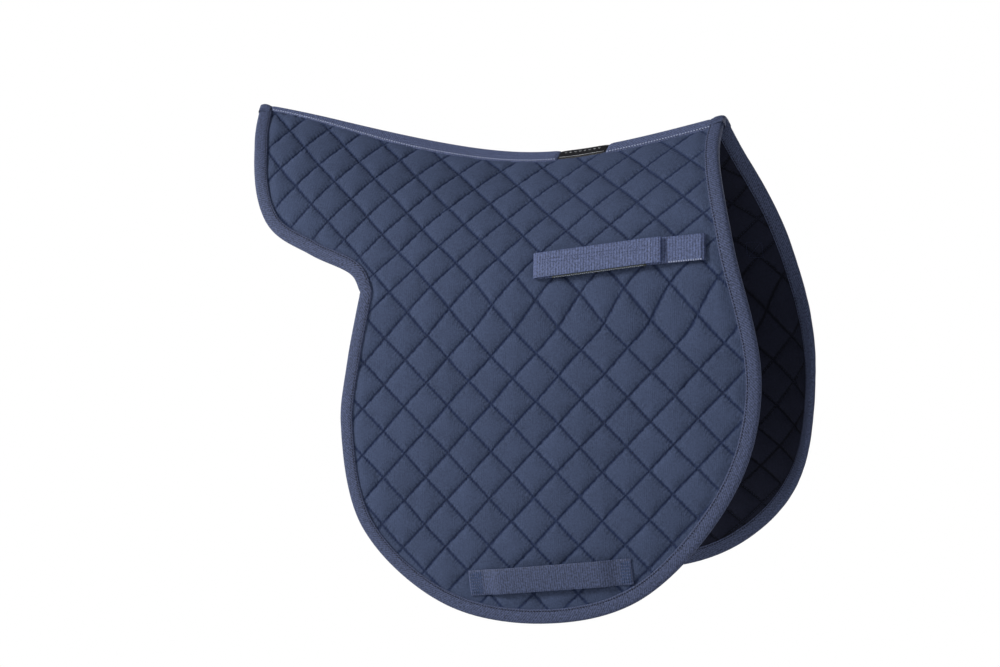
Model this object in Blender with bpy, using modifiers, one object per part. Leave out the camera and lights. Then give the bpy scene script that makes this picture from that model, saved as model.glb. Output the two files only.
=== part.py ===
"""Quilted saddle pad with webbing straps, as it hangs on a horse's back.

+X is forward, towards the withers, +Z is up, and the plane y = 0 runs down the
spine.  The origin lies under the lowest point of the spine, where the pad rests
on the horse.  "Right" is the -Y side and "left" the +Y side.  Every length is
in metres.

Each side is laid out flat first.  A flat point is (x, height), and the height
is the true world height wherever the side hangs straight down.  drape() then
lays the flat point over the back.
"""

from math import cos, hypot, pi, radians, sin, sqrt

import bmesh
import bpy
from mathutils import Matrix, Vector

MM = 0.001

# ---- The spine line, a hyperbola that dips behind the withers ----
SPINE_LOW = 8 * MM
SPINE_SLOPE = 0.26
SPINE_ROUND = 120 * MM
CANTLE_START = -270 * MM
CANTLE_DROOP = 0.3

# ---- The shape of the hanging sides ----
HALF_WIDTH = 116.5 * MM
SHOULDER_DROP = 217.6 * MM
SHOULDER_POWER = 2.709
PROFILE_STEPS = 200

# ---- The quilted cloth, outside to inside ----
CLOTH = 0.8 * MM
WADDING = 3.4 * MM
GAP = 0.3 * MM
PAD_HALF = WADDING / 2 + GAP + CLOTH

# ---- The left side hangs a little further forward, its front corner turned in ----
LEFT_FORWARD = 33 * MM
LEFT_LIFT = 24 * MM
LEFT_OUT = 8 * MM
LEFT_CURL = 3.0
LEFT_CURL_START = 231 * MM
LEFT_CURL_SLANT = 0.19
LEFT_CURL_LEVEL = -224 * MM
LEFT_FALL_TOP = -24 * MM
LEFT_FALL = 450 * MM
LEFT_LIFT_TOP = -274 * MM
LEFT_LIFT_FALL = 250 * MM

# ---- The cut of one side, flat, as smooth runs of (x, height) ----
REAR_RUN = [(-0.380, 0.121), (-0.355, 0.042), (-0.305, -0.074), (-0.245, -0.109),
            (-0.188, -0.134), (-0.176, -0.154)]
FRONT_RUN = [(-0.176, -0.154), (-0.194, -0.240), (-0.202, -0.310), (-0.175, -0.427),
             (-0.0735, -0.509), (0.051, -0.525), (0.171, -0.489), (0.278, -0.3645),
             (0.305, -0.251), (0.271, -0.097), (0.236, 0.024), (0.227, 0.088)]
RUN_STEPS = 12
LOWER_REAR_AT = 0.27
LOWER_FRONT_AT = 0.60

# ---- The grid of each side ----
COLUMNS = 14
NOTCH_ROW = 8
ROWS = 17
TOP_ROW_CROWDING = 1.25
CORNER_SPREAD = 9 * MM

# ---- Tapes ----
TAPE = 0.8 * MM
BINDING_WIDTH = 15 * MM
TAPE_GAP = 0.7 * MM
TAPE_OFFSET = PAD_HALF + TAPE_GAP + TAPE / 2
SPINE_REACH = 10 * MM
SIDE_START = 14.5 * MM
BINDING_JOIN_GAP = 1.2 * MM
LABEL_REAR = 28 * MM
LABEL_FRONT = 90 * MM
TAPE_END_GAP = 1.5 * MM
SEAM_END_GAP = 1.5 * MM
GULLET_TAPE_REACH = 8 * MM

# ---- Webbing ----
WEBBING = 1.3 * MM
WEBBING_WIDTH = 29 * MM
HOOK_AND_LOOP = 0.8 * MM
HOOK_AND_LOOP_WIDTH = 25 * MM

# ---- Upper strap: its ends on the right side, then levels above the cover ----
STRAP_REAR = (0.0415, -0.122)
STRAP_FRONT = (0.244, -0.1035)
STRAP_CLEAR = 0.6 * MM
TAB_LEVEL = 6.6 * MM
LOOP_LEVEL = 3.0 * MM
TAB_LENGTH = 144 * MM
LOOP_LENGTH = 113 * MM
FOLD_STEPS = 8
LEAF_ROOT_GAP = 0.5 * MM
HOOK_TAPE = (24 * MM, 136 * MM)
LOOP_TAPE = (58 * MM, 109 * MM)
STITCH_PATCH = 20 * MM
LINING_CLEAR = 1.1 * MM

# ---- Girth keeper ----
KEEPER_REAR = (-0.035, -0.486)
KEEPER_FRONT = (0.162, -0.4597)
KEEPER_RISE = 6.3 * MM
KEEPER_REAR_SEWN = 17 * MM
KEEPER_FRONT_SEWN = 14 * MM
KEEPER_RAMP = 20 * MM
KEEPER_RAMP_STEPS = 4
THREAD = 0.4 * MM

# ---- Finishes: colour, roughness ----
FINISHES = {
    "quilted_cotton": ((0.043, 0.058, 0.112), 0.85),
    "lining_cotton": ((0.040, 0.054, 0.105), 0.9),
    "wadding": ((0.82, 0.82, 0.80), 1.0),
    "binding_tape": ((0.040, 0.052, 0.105), 0.7),
    "webbing": ((0.052, 0.066, 0.128), 0.6),
    "hook_and_loop": ((0.030, 0.033, 0.036), 0.95),
    "thread": ((0.030, 0.045, 0.115), 0.6),
    "label": ((0.012, 0.012, 0.014), 0.5),
}


# ---------------------------------------------------------------- the drape

def spine_height(x):
    """Height of the pad's middle surface on the spine."""
    rise = SPINE_SLOPE * (sqrt(x * x + SPINE_ROUND ** 2) - SPINE_ROUND)
    droop = CANTLE_DROOP * max(0.0, CANTLE_START - x) ** 2
    return SPINE_LOW + rise - droop


def shoulder_out(drop):
    """How far a side stands from the spine plane at a drop below the spine."""
    return HALF_WIDTH * (1 - max(0.0, 1 - drop / SHOULDER_DROP) ** SHOULDER_POWER)


def shoulder_table():
    """Distance along the cloth for evenly spaced drops down to the vertical."""
    table = [0.0]
    step = SHOULDER_DROP / PROFILE_STEPS
    for i in range(PROFILE_STEPS):
        across = shoulder_out((i + 1) * step) - shoulder_out(i * step)
        table.append(table[-1] + hypot(across, step))
    return table


SHOULDER = shoulder_table()
SHOULDER_EXTRA = SHOULDER[-1] - SHOULDER_DROP


def drop_at(along):
    """Drop below the spine after a distance along the cloth."""
    if along >= SHOULDER[-1]:
        return along - SHOULDER_EXTRA
    low, high = 0, PROFILE_STEPS
    while high - low > 1:
        middle = (low + high) // 2
        if SHOULDER[middle] <= along:
            low = middle
        else:
            high = middle
    part = (along - SHOULDER[low]) / (SHOULDER[high] - SHOULDER[low])
    return (low + part) * SHOULDER_DROP / PROFILE_STEPS


def seam_height(x):
    """Flat height of the spine seam."""
    return spine_height(x) + SHOULDER_EXTRA


def smooth(t):
    t = min(1.0, max(0.0, t))
    return t * t * (3 - 2 * t)


def hang_left(point):
    """Move a point of the mirrored side to where the left side really hangs."""
    x, y, z = point
    past = max(0.0, x - LEFT_CURL_START + LEFT_CURL_SLANT * (LEFT_CURL_LEVEL - z))
    inward = LEFT_CURL * past ** 2
    shorter = 2 / 3 * LEFT_CURL ** 2 * past ** 3
    slant = hypot(1, LEFT_CURL_SLANT)
    low = smooth((LEFT_FALL_TOP - z) / LEFT_FALL)
    lift = LEFT_LIFT * smooth((LEFT_LIFT_TOP - z) / LEFT_LIFT_FALL)
    return Vector((x - shorter / slant + LEFT_FORWARD * low,
                   y - inward + LEFT_OUT * low,
                   z + shorter * LEFT_CURL_SLANT / slant + lift))


def middle_point(x, height, left):
    """The flat point (x, height) laid over the back, on the pad's middle surface."""
    drop = drop_at(max(0.0, seam_height(x) - height))
    out = shoulder_out(drop)
    point = Vector((x, out if left else -out, spine_height(x) - drop))
    return hang_left(point) if left else point


def outward(x, height, left):
    """Unit vector out of the pad, away from the horse."""
    step = 0.5 * MM
    height = min(height, seam_height(x) - step)
    ahead = middle_point(x + step, height, left) - middle_point(x - step, height, left)
    above = middle_point(x, height + step, left) - middle_point(x, height - step, left)
    normal = ahead.cross(above)
    return -normal.normalized() if left else normal.normalized()


def drape(x, height, offset, left):
    return middle_point(x, height, left) + outward(x, height, left) * offset


# ------------------------------------------------------------- the flat cut

def smooth_run(points):
    """A smooth curve through flat points, evenly sampled between each pair."""
    pts = [Vector(p) for p in points]
    pts = [2 * pts[0] - pts[1]] + pts + [2 * pts[-1] - pts[-2]]
    line = []
    for i in range(1, len(pts) - 2):
        before, start, end, after = pts[i - 1:i + 3]
        gaps = [sqrt((b - a).length) for a, b in ((before, start), (start, end), (end, after))]
        leave = (start - before) / gaps[0] - (end - before) / (gaps[0] + gaps[1])
        leave = (leave + (end - start) / gaps[1]) * gaps[1]
        arrive = (end - start) / gaps[1] - (after - start) / (gaps[1] + gaps[2])
        arrive = (arrive + (after - end) / gaps[2]) * gaps[1]
        for k in range(RUN_STEPS):
            t = k / RUN_STEPS
            line.append((2 * t ** 3 - 3 * t ** 2 + 1) * start + (t ** 3 - 2 * t ** 2 + t) * leave
                        + (3 * t ** 2 - 2 * t ** 3) * end + (t ** 3 - t ** 2) * arrive)
    line.append(pts[-2])
    return line


def lengths(line):
    total = [0.0]
    for a, b in zip(line, line[1:]):
        total.append(total[-1] + (b - a).length)
    return total


def at_length(line, where):
    """Point and inward direction after a distance along a run (the cloth is on its left)."""
    total = lengths(line)
    where = min(max(where, 0.0), total[-1])
    i = 0
    while i < len(total) - 2 and total[i + 1] < where:
        i += 1
    part = (where - total[i]) / (total[i + 1] - total[i])
    ahead = (line[min(i + 2, len(line) - 1)] - line[i]).normalized()
    behind = (line[i + 1] - line[max(i - 1, 0)]).normalized()
    along = behind.lerp(ahead, part).normalized()
    return line[i].lerp(line[i + 1], part), Vector((-along.y, along.x))


def side_layout():
    """Flat points of the side's outline and, a binding's width in, of its inset.

    Returns four lists of (outline point, inset point): down the rear edge to
    the notch, on down to the lower rear corner, along the bottom to the lower
    front corner, and down the front edge from the top.
    """
    rear = smooth_run(REAR_RUN)
    front = smooth_run(FRONT_RUN)
    rear_end = lengths(rear)[-1]
    front_end = lengths(front)[-1]
    lower_rear = LOWER_REAR_AT * front_end
    lower_front = LOWER_FRONT_AT * front_end

    def pair(line, where):
        point, inward = at_length(line, where)
        return point, point + inward * BINDING_WIDTH

    def start_of(line, backwards):
        """Distance along the run at which it meets the side's top row."""
        ends = (lengths(line)[-1], 0.0) if backwards else (0.0, lengths(line)[-1])
        low, high = 0.0, 0.2
        for _ in range(30):
            part = (low + high) / 2
            point = at_length(line, ends[0] + (ends[1] - ends[0]) * part)[0]
            if seam_height(point.x) - point.y < SIDE_START:
                low = part
            else:
                high = part
        return ends[0] + (ends[1] - ends[0]) * high

    def spread(first, last, count, crowding=1.0):
        return [first + (last - first) * (k / count) ** crowding for k in range(count + 1)]

    rear_top = start_of(rear, False)
    front_top = start_of(front, True)
    lower_rows = ROWS - NOTCH_ROW - 1
    down_rear = [pair(rear, s) for s in spread(rear_top, rear_end, NOTCH_ROW)]
    down_lower = [pair(front, s) for s in spread(0.0, lower_rear, lower_rows)]
    bottom = [pair(front, s) for s in spread(lower_rear, lower_front, COLUMNS - 2)]
    down_front = [pair(front, s)
                  for s in spread(front_top, lower_front, ROWS - 1, TOP_ROW_CROWDING)]
    into_notch = (down_rear[-2][0] - down_rear[-1][0]).normalized()
    out_of_notch = (down_lower[1][0] - down_lower[0][0]).normalized()
    turn = out_of_notch - into_notch
    inward = Vector((-turn.y, turn.x)).normalized()
    notch = down_rear[-1][0]
    down_rear[-1] = down_lower[0] = (notch, notch + inward * BINDING_WIDTH)
    return down_rear, down_lower, bottom, down_front


def flat_grid():
    """Flat points of one side, rows from the top down, columns from rear to front."""
    down_rear, down_lower, bottom, down_front = side_layout()
    rear_edge = down_rear + down_lower[1:]
    rear_in = [inset for _, inset in rear_edge]
    front_in = [inset for _, inset in down_front]
    bottom_in = [inset for _, inset in bottom]
    for edge in (rear_in, front_in):
        edge[0].y = seam_height(edge[0].x) - SIDE_START
    inner_columns = COLUMNS - 2
    inner_rows = ROWS - 1
    grid = [[None] * (COLUMNS + 1) for _ in range(ROWS + 1)]
    for j in range(inner_rows + 1):
        v = j / inner_rows
        for i in range(inner_columns + 1):
            u = i / inner_columns
            x = rear_in[0].x + (front_in[0].x - rear_in[0].x) * u
            top = Vector((x, seam_height(x) - SIDE_START))
            across = rear_in[j].lerp(front_in[j], u)
            down = top.lerp(bottom_in[i], v)
            corners = rear_in[0].lerp(front_in[0], u).lerp(rear_in[-1].lerp(front_in[-1], u), v)
            grid[j][i + 1] = across + down - corners
        grid[j][0] = rear_edge[j][0]
        grid[j][COLUMNS] = down_front[j][0]
    for i in range(inner_columns + 1):
        grid[ROWS][i + 1] = bottom[i][0]
    grid[ROWS][0] = bottom[0][0]
    grid[ROWS][COLUMNS] = bottom[-1][0]
    front = smooth_run(FRONT_RUN)
    total = lengths(front)[-1]
    for column, fraction, sign in ((0, LOWER_REAR_AT, 1), (COLUMNS, LOWER_FRONT_AT, -1)):
        place = fraction * total
        inner = 1 if column == 0 else COLUMNS - 1
        grid[ROWS - 1][column] = at_length(front, place - sign * CORNER_SPREAD)[0]
        grid[ROWS][inner] = at_length(front, place + sign * CORNER_SPREAD)[0]
    return grid


GRID = flat_grid()


# -------------------------------------------------------------- scene tools

def clear_scene():
    for obj in list(bpy.data.objects):
        bpy.data.objects.remove(obj, do_unlink=True)


def finish_material(name):
    material = bpy.data.materials.get(name)
    if material is None:
        colour, roughness = FINISHES[name]
        material = bpy.data.materials.new(name)
        material.use_nodes = True
        shader = material.node_tree.nodes["Principled BSDF"]
        shader.inputs["Base Color"].default_value = (*colour, 1.0)
        shader.inputs["Roughness"].default_value = roughness
        shader.inputs["Metallic"].default_value = 0.0
    return material


def add_object(name, bm, finish, pivot=None):
    """Put a bmesh in world coordinates into a named object, its origin on the pivot."""
    place = Vector(pivot) if pivot is not None else Vector((0, 0, 0))
    bmesh.ops.translate(bm, verts=bm.verts, vec=-place)
    mesh = bpy.data.meshes.new(name)
    bm.to_mesh(mesh)
    bm.free()
    mesh.shade_smooth()
    mesh.set_sharp_from_angle(angle=radians(40))
    obj = bpy.data.objects.new(name, mesh)
    obj.location = place
    obj.data.materials.append(finish_material(finish))
    bpy.data.collections["saddle_pad"].objects.link(obj)
    return obj


def thicken(obj, thickness):
    """Give an open surface its thickness, half on each side."""
    wall = obj.modifiers.new("thickness", "SOLIDIFY")
    wall.thickness = thickness
    wall.offset = 0.0
    wall.use_even_offset = True


def sheet(rows):
    """An open sheet through rows of points, from a grid that is laid onto them."""
    bm = bmesh.new()
    columns = len(rows[0])
    bmesh.ops.create_grid(bm, x_segments=columns - 1, y_segments=len(rows) - 1, size=1.0)
    for vertex in bm.verts:
        i = round((vertex.co.x + 1) / 2 * (columns - 1))
        j = round((1 - vertex.co.y) / 2 * (len(rows) - 1))
        vertex.co = rows[j][i]
    bmesh.ops.remove_doubles(bm, verts=bm.verts, dist=0.02 * MM)
    return bm


def face_out(bm, left):
    """Turn a right-side sheet over once it has been laid on the left side."""
    if left:
        bmesh.ops.reverse_faces(bm, faces=bm.faces)


# ------------------------------------------------------------ quilted sides

def side_layer(name, offset, thickness, finish, left):
    rows = [[drape(p.x, p.y, offset, left) for p in row] for row in GRID]
    bm = sheet(rows)
    face_out(bm, left)
    thicken(add_object(name, bm, finish), thickness)


def quilted_side(side, left):
    cloth_offset = PAD_HALF - CLOTH / 2
    side_layer(side + "_cover", cloth_offset, CLOTH, "quilted_cotton", left)
    side_layer(side + "_wadding", 0.0, WADDING, "wadding", left)
    side_layer(side + "_lining", -cloth_offset, CLOTH, "lining_cotton", left)


# ----------------------------------------------------------- edge bindings

def binding_section(edge, inset, left):
    """One cross-section of tape folded round the edge, outside to inside."""
    edge_point = middle_point(edge.x, edge.y, left)
    edge_normal = outward(edge.x, edge.y, left)
    away = edge_point - middle_point(inset.x, inset.y, left)
    away = (away - edge_normal * away.dot(edge_normal)).normalized()
    section = [drape(inset.x, inset.y, TAPE_OFFSET, left)]
    for k in range(5):
        angle = pi * k / 4
        section.append(edge_point + edge_normal * cos(angle) * TAPE_OFFSET
                       + away * sin(angle) * (TAPE + GAP + TAPE_OFFSET / 4))
    section.append(drape(inset.x, inset.y, -TAPE_OFFSET, left))
    return section


def binding(name, path, left):
    bm = sheet([binding_section(edge, inset, left) for edge, inset in path])
    face_out(bm, not left)
    thicken(add_object(name, bm, "binding_tape"), TAPE)


def edge_bindings(side, left):
    rear = [(GRID[j][0], GRID[j][1]) for j in range(NOTCH_ROW + 1)]
    front = [(GRID[j][0], GRID[j][1]) for j in range(NOTCH_ROW, ROWS)]
    front.append((GRID[ROWS][0], GRID[ROWS - 1][1]))
    front += [(GRID[ROWS][i], GRID[ROWS - 1][i]) for i in range(1, COLUMNS)]
    front.append((GRID[ROWS][COLUMNS], GRID[ROWS - 1][COLUMNS - 1]))
    front += [(GRID[j][COLUMNS], GRID[j][COLUMNS - 1]) for j in range(ROWS - 1, -1, -1)]
    rear[-1] = pull_back(rear[-1], rear[-2])
    front[0] = pull_back(front[0], front[1])
    binding(side + "_rear_binding", rear, left)
    binding(side + "_front_binding", front, left)


def pull_back(end, neighbour):
    """Shorten a run's last stretch, so that two tapes meet without touching."""
    moved = []
    for here, there in zip(end, neighbour):
        part = BINDING_JOIN_GAP / (there - here).length
        moved.append(here.lerp(there, part))
    return tuple(moved)


# ------------------------------------------------------------------- spine

def spine_point(x, reach, offset):
    """A point across the spine: reach is the distance down the cloth, + to the left."""
    if abs(reach) < 0.1 * MM:
        lean = outward(x, seam_height(x), False)
        return Vector((x, 0.0, spine_height(x) + offset / lean.z))
    return drape(x, seam_height(x) - abs(reach), offset, reach > 0)


def spine_strip(name, rear, front, reach, offset, thickness, finish):
    """A strip folded over the spine; rear and front give x for a distance down the cloth."""
    rows = []
    for share in (-1.0, -0.5, 0.0, 0.5, 1.0):
        down = share * reach
        first, last = rear(abs(down)), front(abs(down))
        steps = max(2, round((last - first) / (32 * MM)))
        if rows:
            steps = len(rows[0]) - 1
        rows.append([spine_point(first + (last - first) * k / steps, down, offset)
                     for k in range(steps + 1)])
    bm = sheet(rows)
    face_out(bm, rows[0][0].y < rows[-1][0].y)
    thicken(add_object(name, bm, finish), thickness)


def outline_x(run, end):
    """x of the cut's edge at a distance down the cloth from the spine."""
    line = smooth_run(run)
    first, second = (line[0], line[1]) if end == 0 else (line[-1], line[-2])

    def where(down):
        fall = seam_height(first.x) - first.y
        slope = (second.x - first.x) / ((seam_height(second.x) - second.y) - fall)
        return first.x + slope * (down - fall)
    return where


def centre_binding(name, edge, inward):
    """The stretch of edge binding that crosses the spine."""
    rows = []
    for share in (-1.0, -0.5, 0.0, 0.5, 1.0):
        down = share * SPINE_REACH
        x = edge(abs(down))
        inner = x + inward * BINDING_WIDTH
        row = [spine_point(inner, down, TAPE_OFFSET)]
        for k in range(5):
            angle = pi * k / 4
            row.append(spine_point(x - inward * sin(angle) * (TAPE + GAP + TAPE_OFFSET / 4),
                                   down, cos(angle) * TAPE_OFFSET))
        row.append(spine_point(inner, down, -TAPE_OFFSET))
        rows.append(row)
    bm = sheet(rows)
    face_out(bm, inward < 0)
    thicken(add_object(name, bm, "binding_tape"), TAPE)


def spine():
    rear_edge = outline_x(REAR_RUN, 0)
    front_edge = outline_x(FRONT_RUN, -1)

    def fixed(x):
        return lambda down: x

    def after(edge, distance):
        return lambda down: edge(down) + distance

    past_binding = BINDING_WIDTH + TAPE_END_GAP
    spine_strip("spine_seam", after(rear_edge, SEAM_END_GAP), after(front_edge, -SEAM_END_GAP),
                SPINE_REACH, 0.0, 2 * PAD_HALF, "quilted_cotton")
    spine_strip("spine_tape_rear", after(rear_edge, past_binding),
                fixed(LABEL_REAR - TAPE_END_GAP), SPINE_REACH, TAPE_OFFSET, TAPE, "binding_tape")
    spine_strip("spine_tape_front", fixed(LABEL_FRONT + TAPE_END_GAP),
                after(front_edge, -past_binding), SPINE_REACH, TAPE_OFFSET, TAPE, "binding_tape")
    spine_strip("spine_label", fixed(LABEL_REAR), fixed(LABEL_FRONT), SPINE_REACH,
                TAPE_OFFSET, TAPE, "label")
    spine_strip("gullet_tape", after(rear_edge, past_binding), after(front_edge, -past_binding),
                GULLET_TAPE_REACH, -TAPE_OFFSET, TAPE, "binding_tape")
    centre_binding("rear_centre_binding", rear_edge, 1)
    centre_binding("front_centre_binding", front_edge, -1)


# ----------------------------------------------------------------- webbing

def strap_frame(rear, front, offset, left):
    """Frame of a strap sewn between two points of the right side.

    X runs forward along the strap, Y into the pad and Z up across the strap.
    On the left side the frame is the mirror image, moved to where that side hangs.
    """
    ends = []
    for x, z in (rear, front):
        height = seam_height(x) - shoulder_length(spine_height(x) - z)
        ends.append((drape(x, height, offset, False), outward(x, height, False)))
    origin = ends[0][0]
    along = (ends[1][0] - origin).normalized()
    normal = (ends[0][1] + ends[1][1]).normalized()
    inward = -(normal - along * normal.dot(along)).normalized()
    up = along.cross(inward)
    frame = Matrix((along, inward, up)).transposed().to_4x4()
    frame.translation = origin
    if not left:
        return frame
    mirror = Matrix.Diagonal((1, -1, 1, 1))
    frame = mirror @ frame
    middle = frame @ Vector(((ends[1][0] - origin).length / 2, 0, 0))
    frame.translation += hang_left(middle) - middle
    return frame


def shoulder_length(drop):
    """Distance along the cloth for a drop below the spine."""
    if drop >= SHOULDER_DROP:
        return drop + SHOULDER_EXTRA
    place = drop / SHOULDER_DROP * PROFILE_STEPS
    low = int(place)
    return SHOULDER[low] + (SHOULDER[low + 1] - SHOULDER[low]) * (place - low)


def ribbon(name, line, width, thickness, finish, frame, pivot=None):
    """A flat strip that follows a line of (along, level) in its frame."""
    rows = []
    for side in (0.5, 0.0, -0.5):
        rows.append([frame @ Vector((along, -level, side * width)) for along, level in line])
    bm = sheet(rows)
    bmesh.ops.recalc_face_normals(bm, faces=bm.faces)
    thicken(add_object(name, bm, finish, pivot), thickness)


def arc(centre, level, radius, first, last):
    """Points (along, level) of a fold, angles in degrees from +along towards outside."""
    points = []
    for k in range(FOLD_STEPS + 1):
        angle = radians(first + (last - first) * k / FOLD_STEPS)
        points.append((centre + radius * cos(angle), level + radius * sin(angle)))
    return points


def strap_length():
    frame = strap_frame(STRAP_REAR, STRAP_FRONT, 0.0, False)
    far = strap_frame(STRAP_FRONT, STRAP_REAR, 0.0, False)
    return (far.translation - frame.translation).length


def upper_strap(side, left):
    """Strap base with a fold at each end, and the two leaves that close on each other."""
    frame = strap_frame(STRAP_REAR, STRAP_FRONT, PAD_HALF + STRAP_CLEAR, left)
    length = strap_length()
    base = WEBBING / 2
    tab = TAB_LEVEL + WEBBING / 2
    loop = LOOP_LEVEL + WEBBING / 2
    tab_fold = (tab - base) / 2
    loop_fold = (loop - base) / 2
    tab_root = tab_fold + base
    loop_root = length - loop_fold - base
    line = arc(tab_root, base + tab_fold, tab_fold, 90, 270)
    line += arc(loop_root, base + loop_fold, loop_fold, -90, 90)
    ribbon(side + "_strap_base", line, WEBBING_WIDTH, WEBBING, "webbing", frame)

    tab_pivot = frame @ Vector((tab_root, -(TAB_LEVEL + WEBBING + GAP), 0))
    start = tab_root + LEAF_ROOT_GAP
    ribbon(side + "_strap_tab", [(start, tab), (start + TAB_LENGTH, tab)],
           WEBBING_WIDTH, WEBBING, "webbing", frame, tab_pivot)
    under_tab = TAB_LEVEL - GAP - HOOK_AND_LOOP / 2
    ribbon(side + "_hook_tape", [(along, under_tab) for along in HOOK_TAPE],
           HOOK_AND_LOOP_WIDTH, HOOK_AND_LOOP, "hook_and_loop", frame, tab_pivot)

    loop_pivot = frame @ Vector((loop_root, -(LOOP_LEVEL + WEBBING + GAP), 0))
    start = loop_root - LEAF_ROOT_GAP
    ribbon(side + "_strap_loop", [(start - LOOP_LENGTH, loop), (start, loop)],
           WEBBING_WIDTH, WEBBING, "webbing", frame, loop_pivot)
    on_loop = LOOP_LEVEL + WEBBING + GAP + HOOK_AND_LOOP / 2
    ribbon(side + "_loop_tape",
           [(start - along, on_loop) for along in reversed(LOOP_TAPE)],
           HOOK_AND_LOOP_WIDTH, HOOK_AND_LOOP, "hook_and_loop", frame, loop_pivot)

    print_hinge(side + " tab", tab_pivot, frame, -1, left)
    print_hinge(side + " loop", loop_pivot, frame, 1, left)


def strap_stitching(side, left):
    """Thread that shows on the lining, behind the sewn front end of the strap."""
    x_front, z_front = STRAP_FRONT
    middle = seam_height(x_front) - shoulder_length(spine_height(x_front) - z_front)
    offset = -(PAD_HALF + LINING_CLEAR + THREAD / 2)
    rows = []
    for across in (0.5, 0.0, -0.5):
        height = middle + across * STITCH_PATCH
        rows.append([drape(x_front - along * STITCH_PATCH, height, offset, left)
                     for along in (1.25, 0.75, 0.25)])
    bm = sheet(rows)
    face_out(bm, left)
    thicken(add_object(side + "_strap_stitching", bm, "thread"), THREAD)


def print_hinge(name, pivot, frame, sense, left):
    """Say where a leaf's hinge lies; a positive turn about the axis opens the leaf."""
    axis = frame.to_3x3().col[2] * sense * (-1 if left else 1)
    print("%s hinge: pos %.5f %.5f %.5f  axis %.5f %.5f %.5f" % (name, *pivot, *axis))


def girth_keeper(side, left):
    """Flat loop low on the side, sewn down at both ends."""
    frame = strap_frame(KEEPER_REAR, KEEPER_FRONT, PAD_HALF + GAP, left)
    length = hypot(KEEPER_FRONT[0] - KEEPER_REAR[0], KEEPER_FRONT[1] - KEEPER_REAR[1])
    base = WEBBING / 2
    line = [(0.0, base)]
    for k in range(KEEPER_RAMP_STEPS + 1):
        part = k / KEEPER_RAMP_STEPS
        line.append((KEEPER_REAR_SEWN + part * KEEPER_RAMP, base + KEEPER_RISE * smooth(part)))
    for k in range(KEEPER_RAMP_STEPS, -1, -1):
        part = k / KEEPER_RAMP_STEPS
        line.append((length - KEEPER_FRONT_SEWN - part * KEEPER_RAMP,
                     base + KEEPER_RISE * smooth(part)))
    line.append((length, base))
    ribbon(side + "_girth_keeper", line, WEBBING_WIDTH, WEBBING, "webbing", frame)
    level = WEBBING + GAP + THREAD / 2
    margin = 2 * MM
    for name, first, last in (("rear", margin, KEEPER_REAR_SEWN - margin),
                              ("front", length - KEEPER_FRONT_SEWN + margin, length - margin)):
        ribbon(side + "_keeper_" + name + "_stitching", [(first, level), (last, level)],
               WEBBING_WIDTH - 2 * margin, THREAD, "thread", frame)


# -------------------------------------------------------------------- main

def main():
    clear_scene()
    collection = bpy.data.collections.new("saddle_pad")
    bpy.context.scene.collection.children.link(collection)
    spine()
    for side, left in (("right", False), ("left", True)):
        quilted_side(side, left)
        edge_bindings(side, left)
        upper_strap(side, left)
        strap_stitching(side, left)
        girth_keeper(side, left)


main()
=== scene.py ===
from math import cos, hypot, pi, radians, sin

import bmesh
import bpy
import numpy as np
from bpy.props import FloatProperty, FloatVectorProperty, PointerProperty
from bpy.types import Operator, Panel, PropertyGroup
from mathutils import Matrix, Vector


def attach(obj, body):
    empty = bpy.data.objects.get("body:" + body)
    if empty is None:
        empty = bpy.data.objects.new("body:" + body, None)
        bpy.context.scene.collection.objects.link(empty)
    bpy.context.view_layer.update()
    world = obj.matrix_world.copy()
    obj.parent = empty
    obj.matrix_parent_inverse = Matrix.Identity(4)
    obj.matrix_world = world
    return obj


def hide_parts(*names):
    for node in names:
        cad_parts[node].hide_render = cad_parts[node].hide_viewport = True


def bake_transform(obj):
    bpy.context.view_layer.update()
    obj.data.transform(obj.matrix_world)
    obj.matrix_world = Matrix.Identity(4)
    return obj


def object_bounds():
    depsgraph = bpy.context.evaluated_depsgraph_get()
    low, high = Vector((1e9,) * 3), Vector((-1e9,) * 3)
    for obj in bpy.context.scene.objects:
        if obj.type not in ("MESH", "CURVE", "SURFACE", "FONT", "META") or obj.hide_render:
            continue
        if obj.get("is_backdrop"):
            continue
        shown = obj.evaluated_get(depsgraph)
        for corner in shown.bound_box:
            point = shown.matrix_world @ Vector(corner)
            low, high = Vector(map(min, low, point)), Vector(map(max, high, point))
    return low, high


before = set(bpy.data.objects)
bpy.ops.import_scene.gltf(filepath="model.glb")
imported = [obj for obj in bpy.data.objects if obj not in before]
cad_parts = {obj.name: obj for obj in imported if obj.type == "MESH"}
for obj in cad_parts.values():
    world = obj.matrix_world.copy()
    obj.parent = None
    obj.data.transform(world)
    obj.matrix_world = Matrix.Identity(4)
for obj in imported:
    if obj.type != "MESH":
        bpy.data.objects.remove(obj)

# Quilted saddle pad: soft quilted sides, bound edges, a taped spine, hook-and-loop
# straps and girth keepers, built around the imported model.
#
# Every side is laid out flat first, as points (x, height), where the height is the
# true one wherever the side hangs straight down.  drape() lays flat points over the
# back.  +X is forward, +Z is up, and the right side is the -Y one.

bl_info = {
    "name": "Quilted Saddle Pad",
    "version": (1, 0, 0),
    "blender": (4, 5, 0),
    "location": "View3D > Sidebar > Saddle Pad",
    "description": "Builds a quilted saddle pad with its bindings, straps and stage",
    "category": "Add Mesh",
}

MM = 0.001
SIDES = (("right", False), ("left", True))

# ---- The spine line and the shape of the hanging sides ----
SPINE_LOW = 8 * MM
SPINE_SLOPE = 0.26
SPINE_ROUND = 120 * MM
CANTLE_START = -270 * MM
CANTLE_DROOP = 0.3
HALF_WIDTH = 116.5 * MM
SHOULDER_DROP = 217.6 * MM
SHOULDER_POWER = 2.709
PROFILE_STEPS = 200
PAD_HALF = 2.8 * MM

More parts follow.
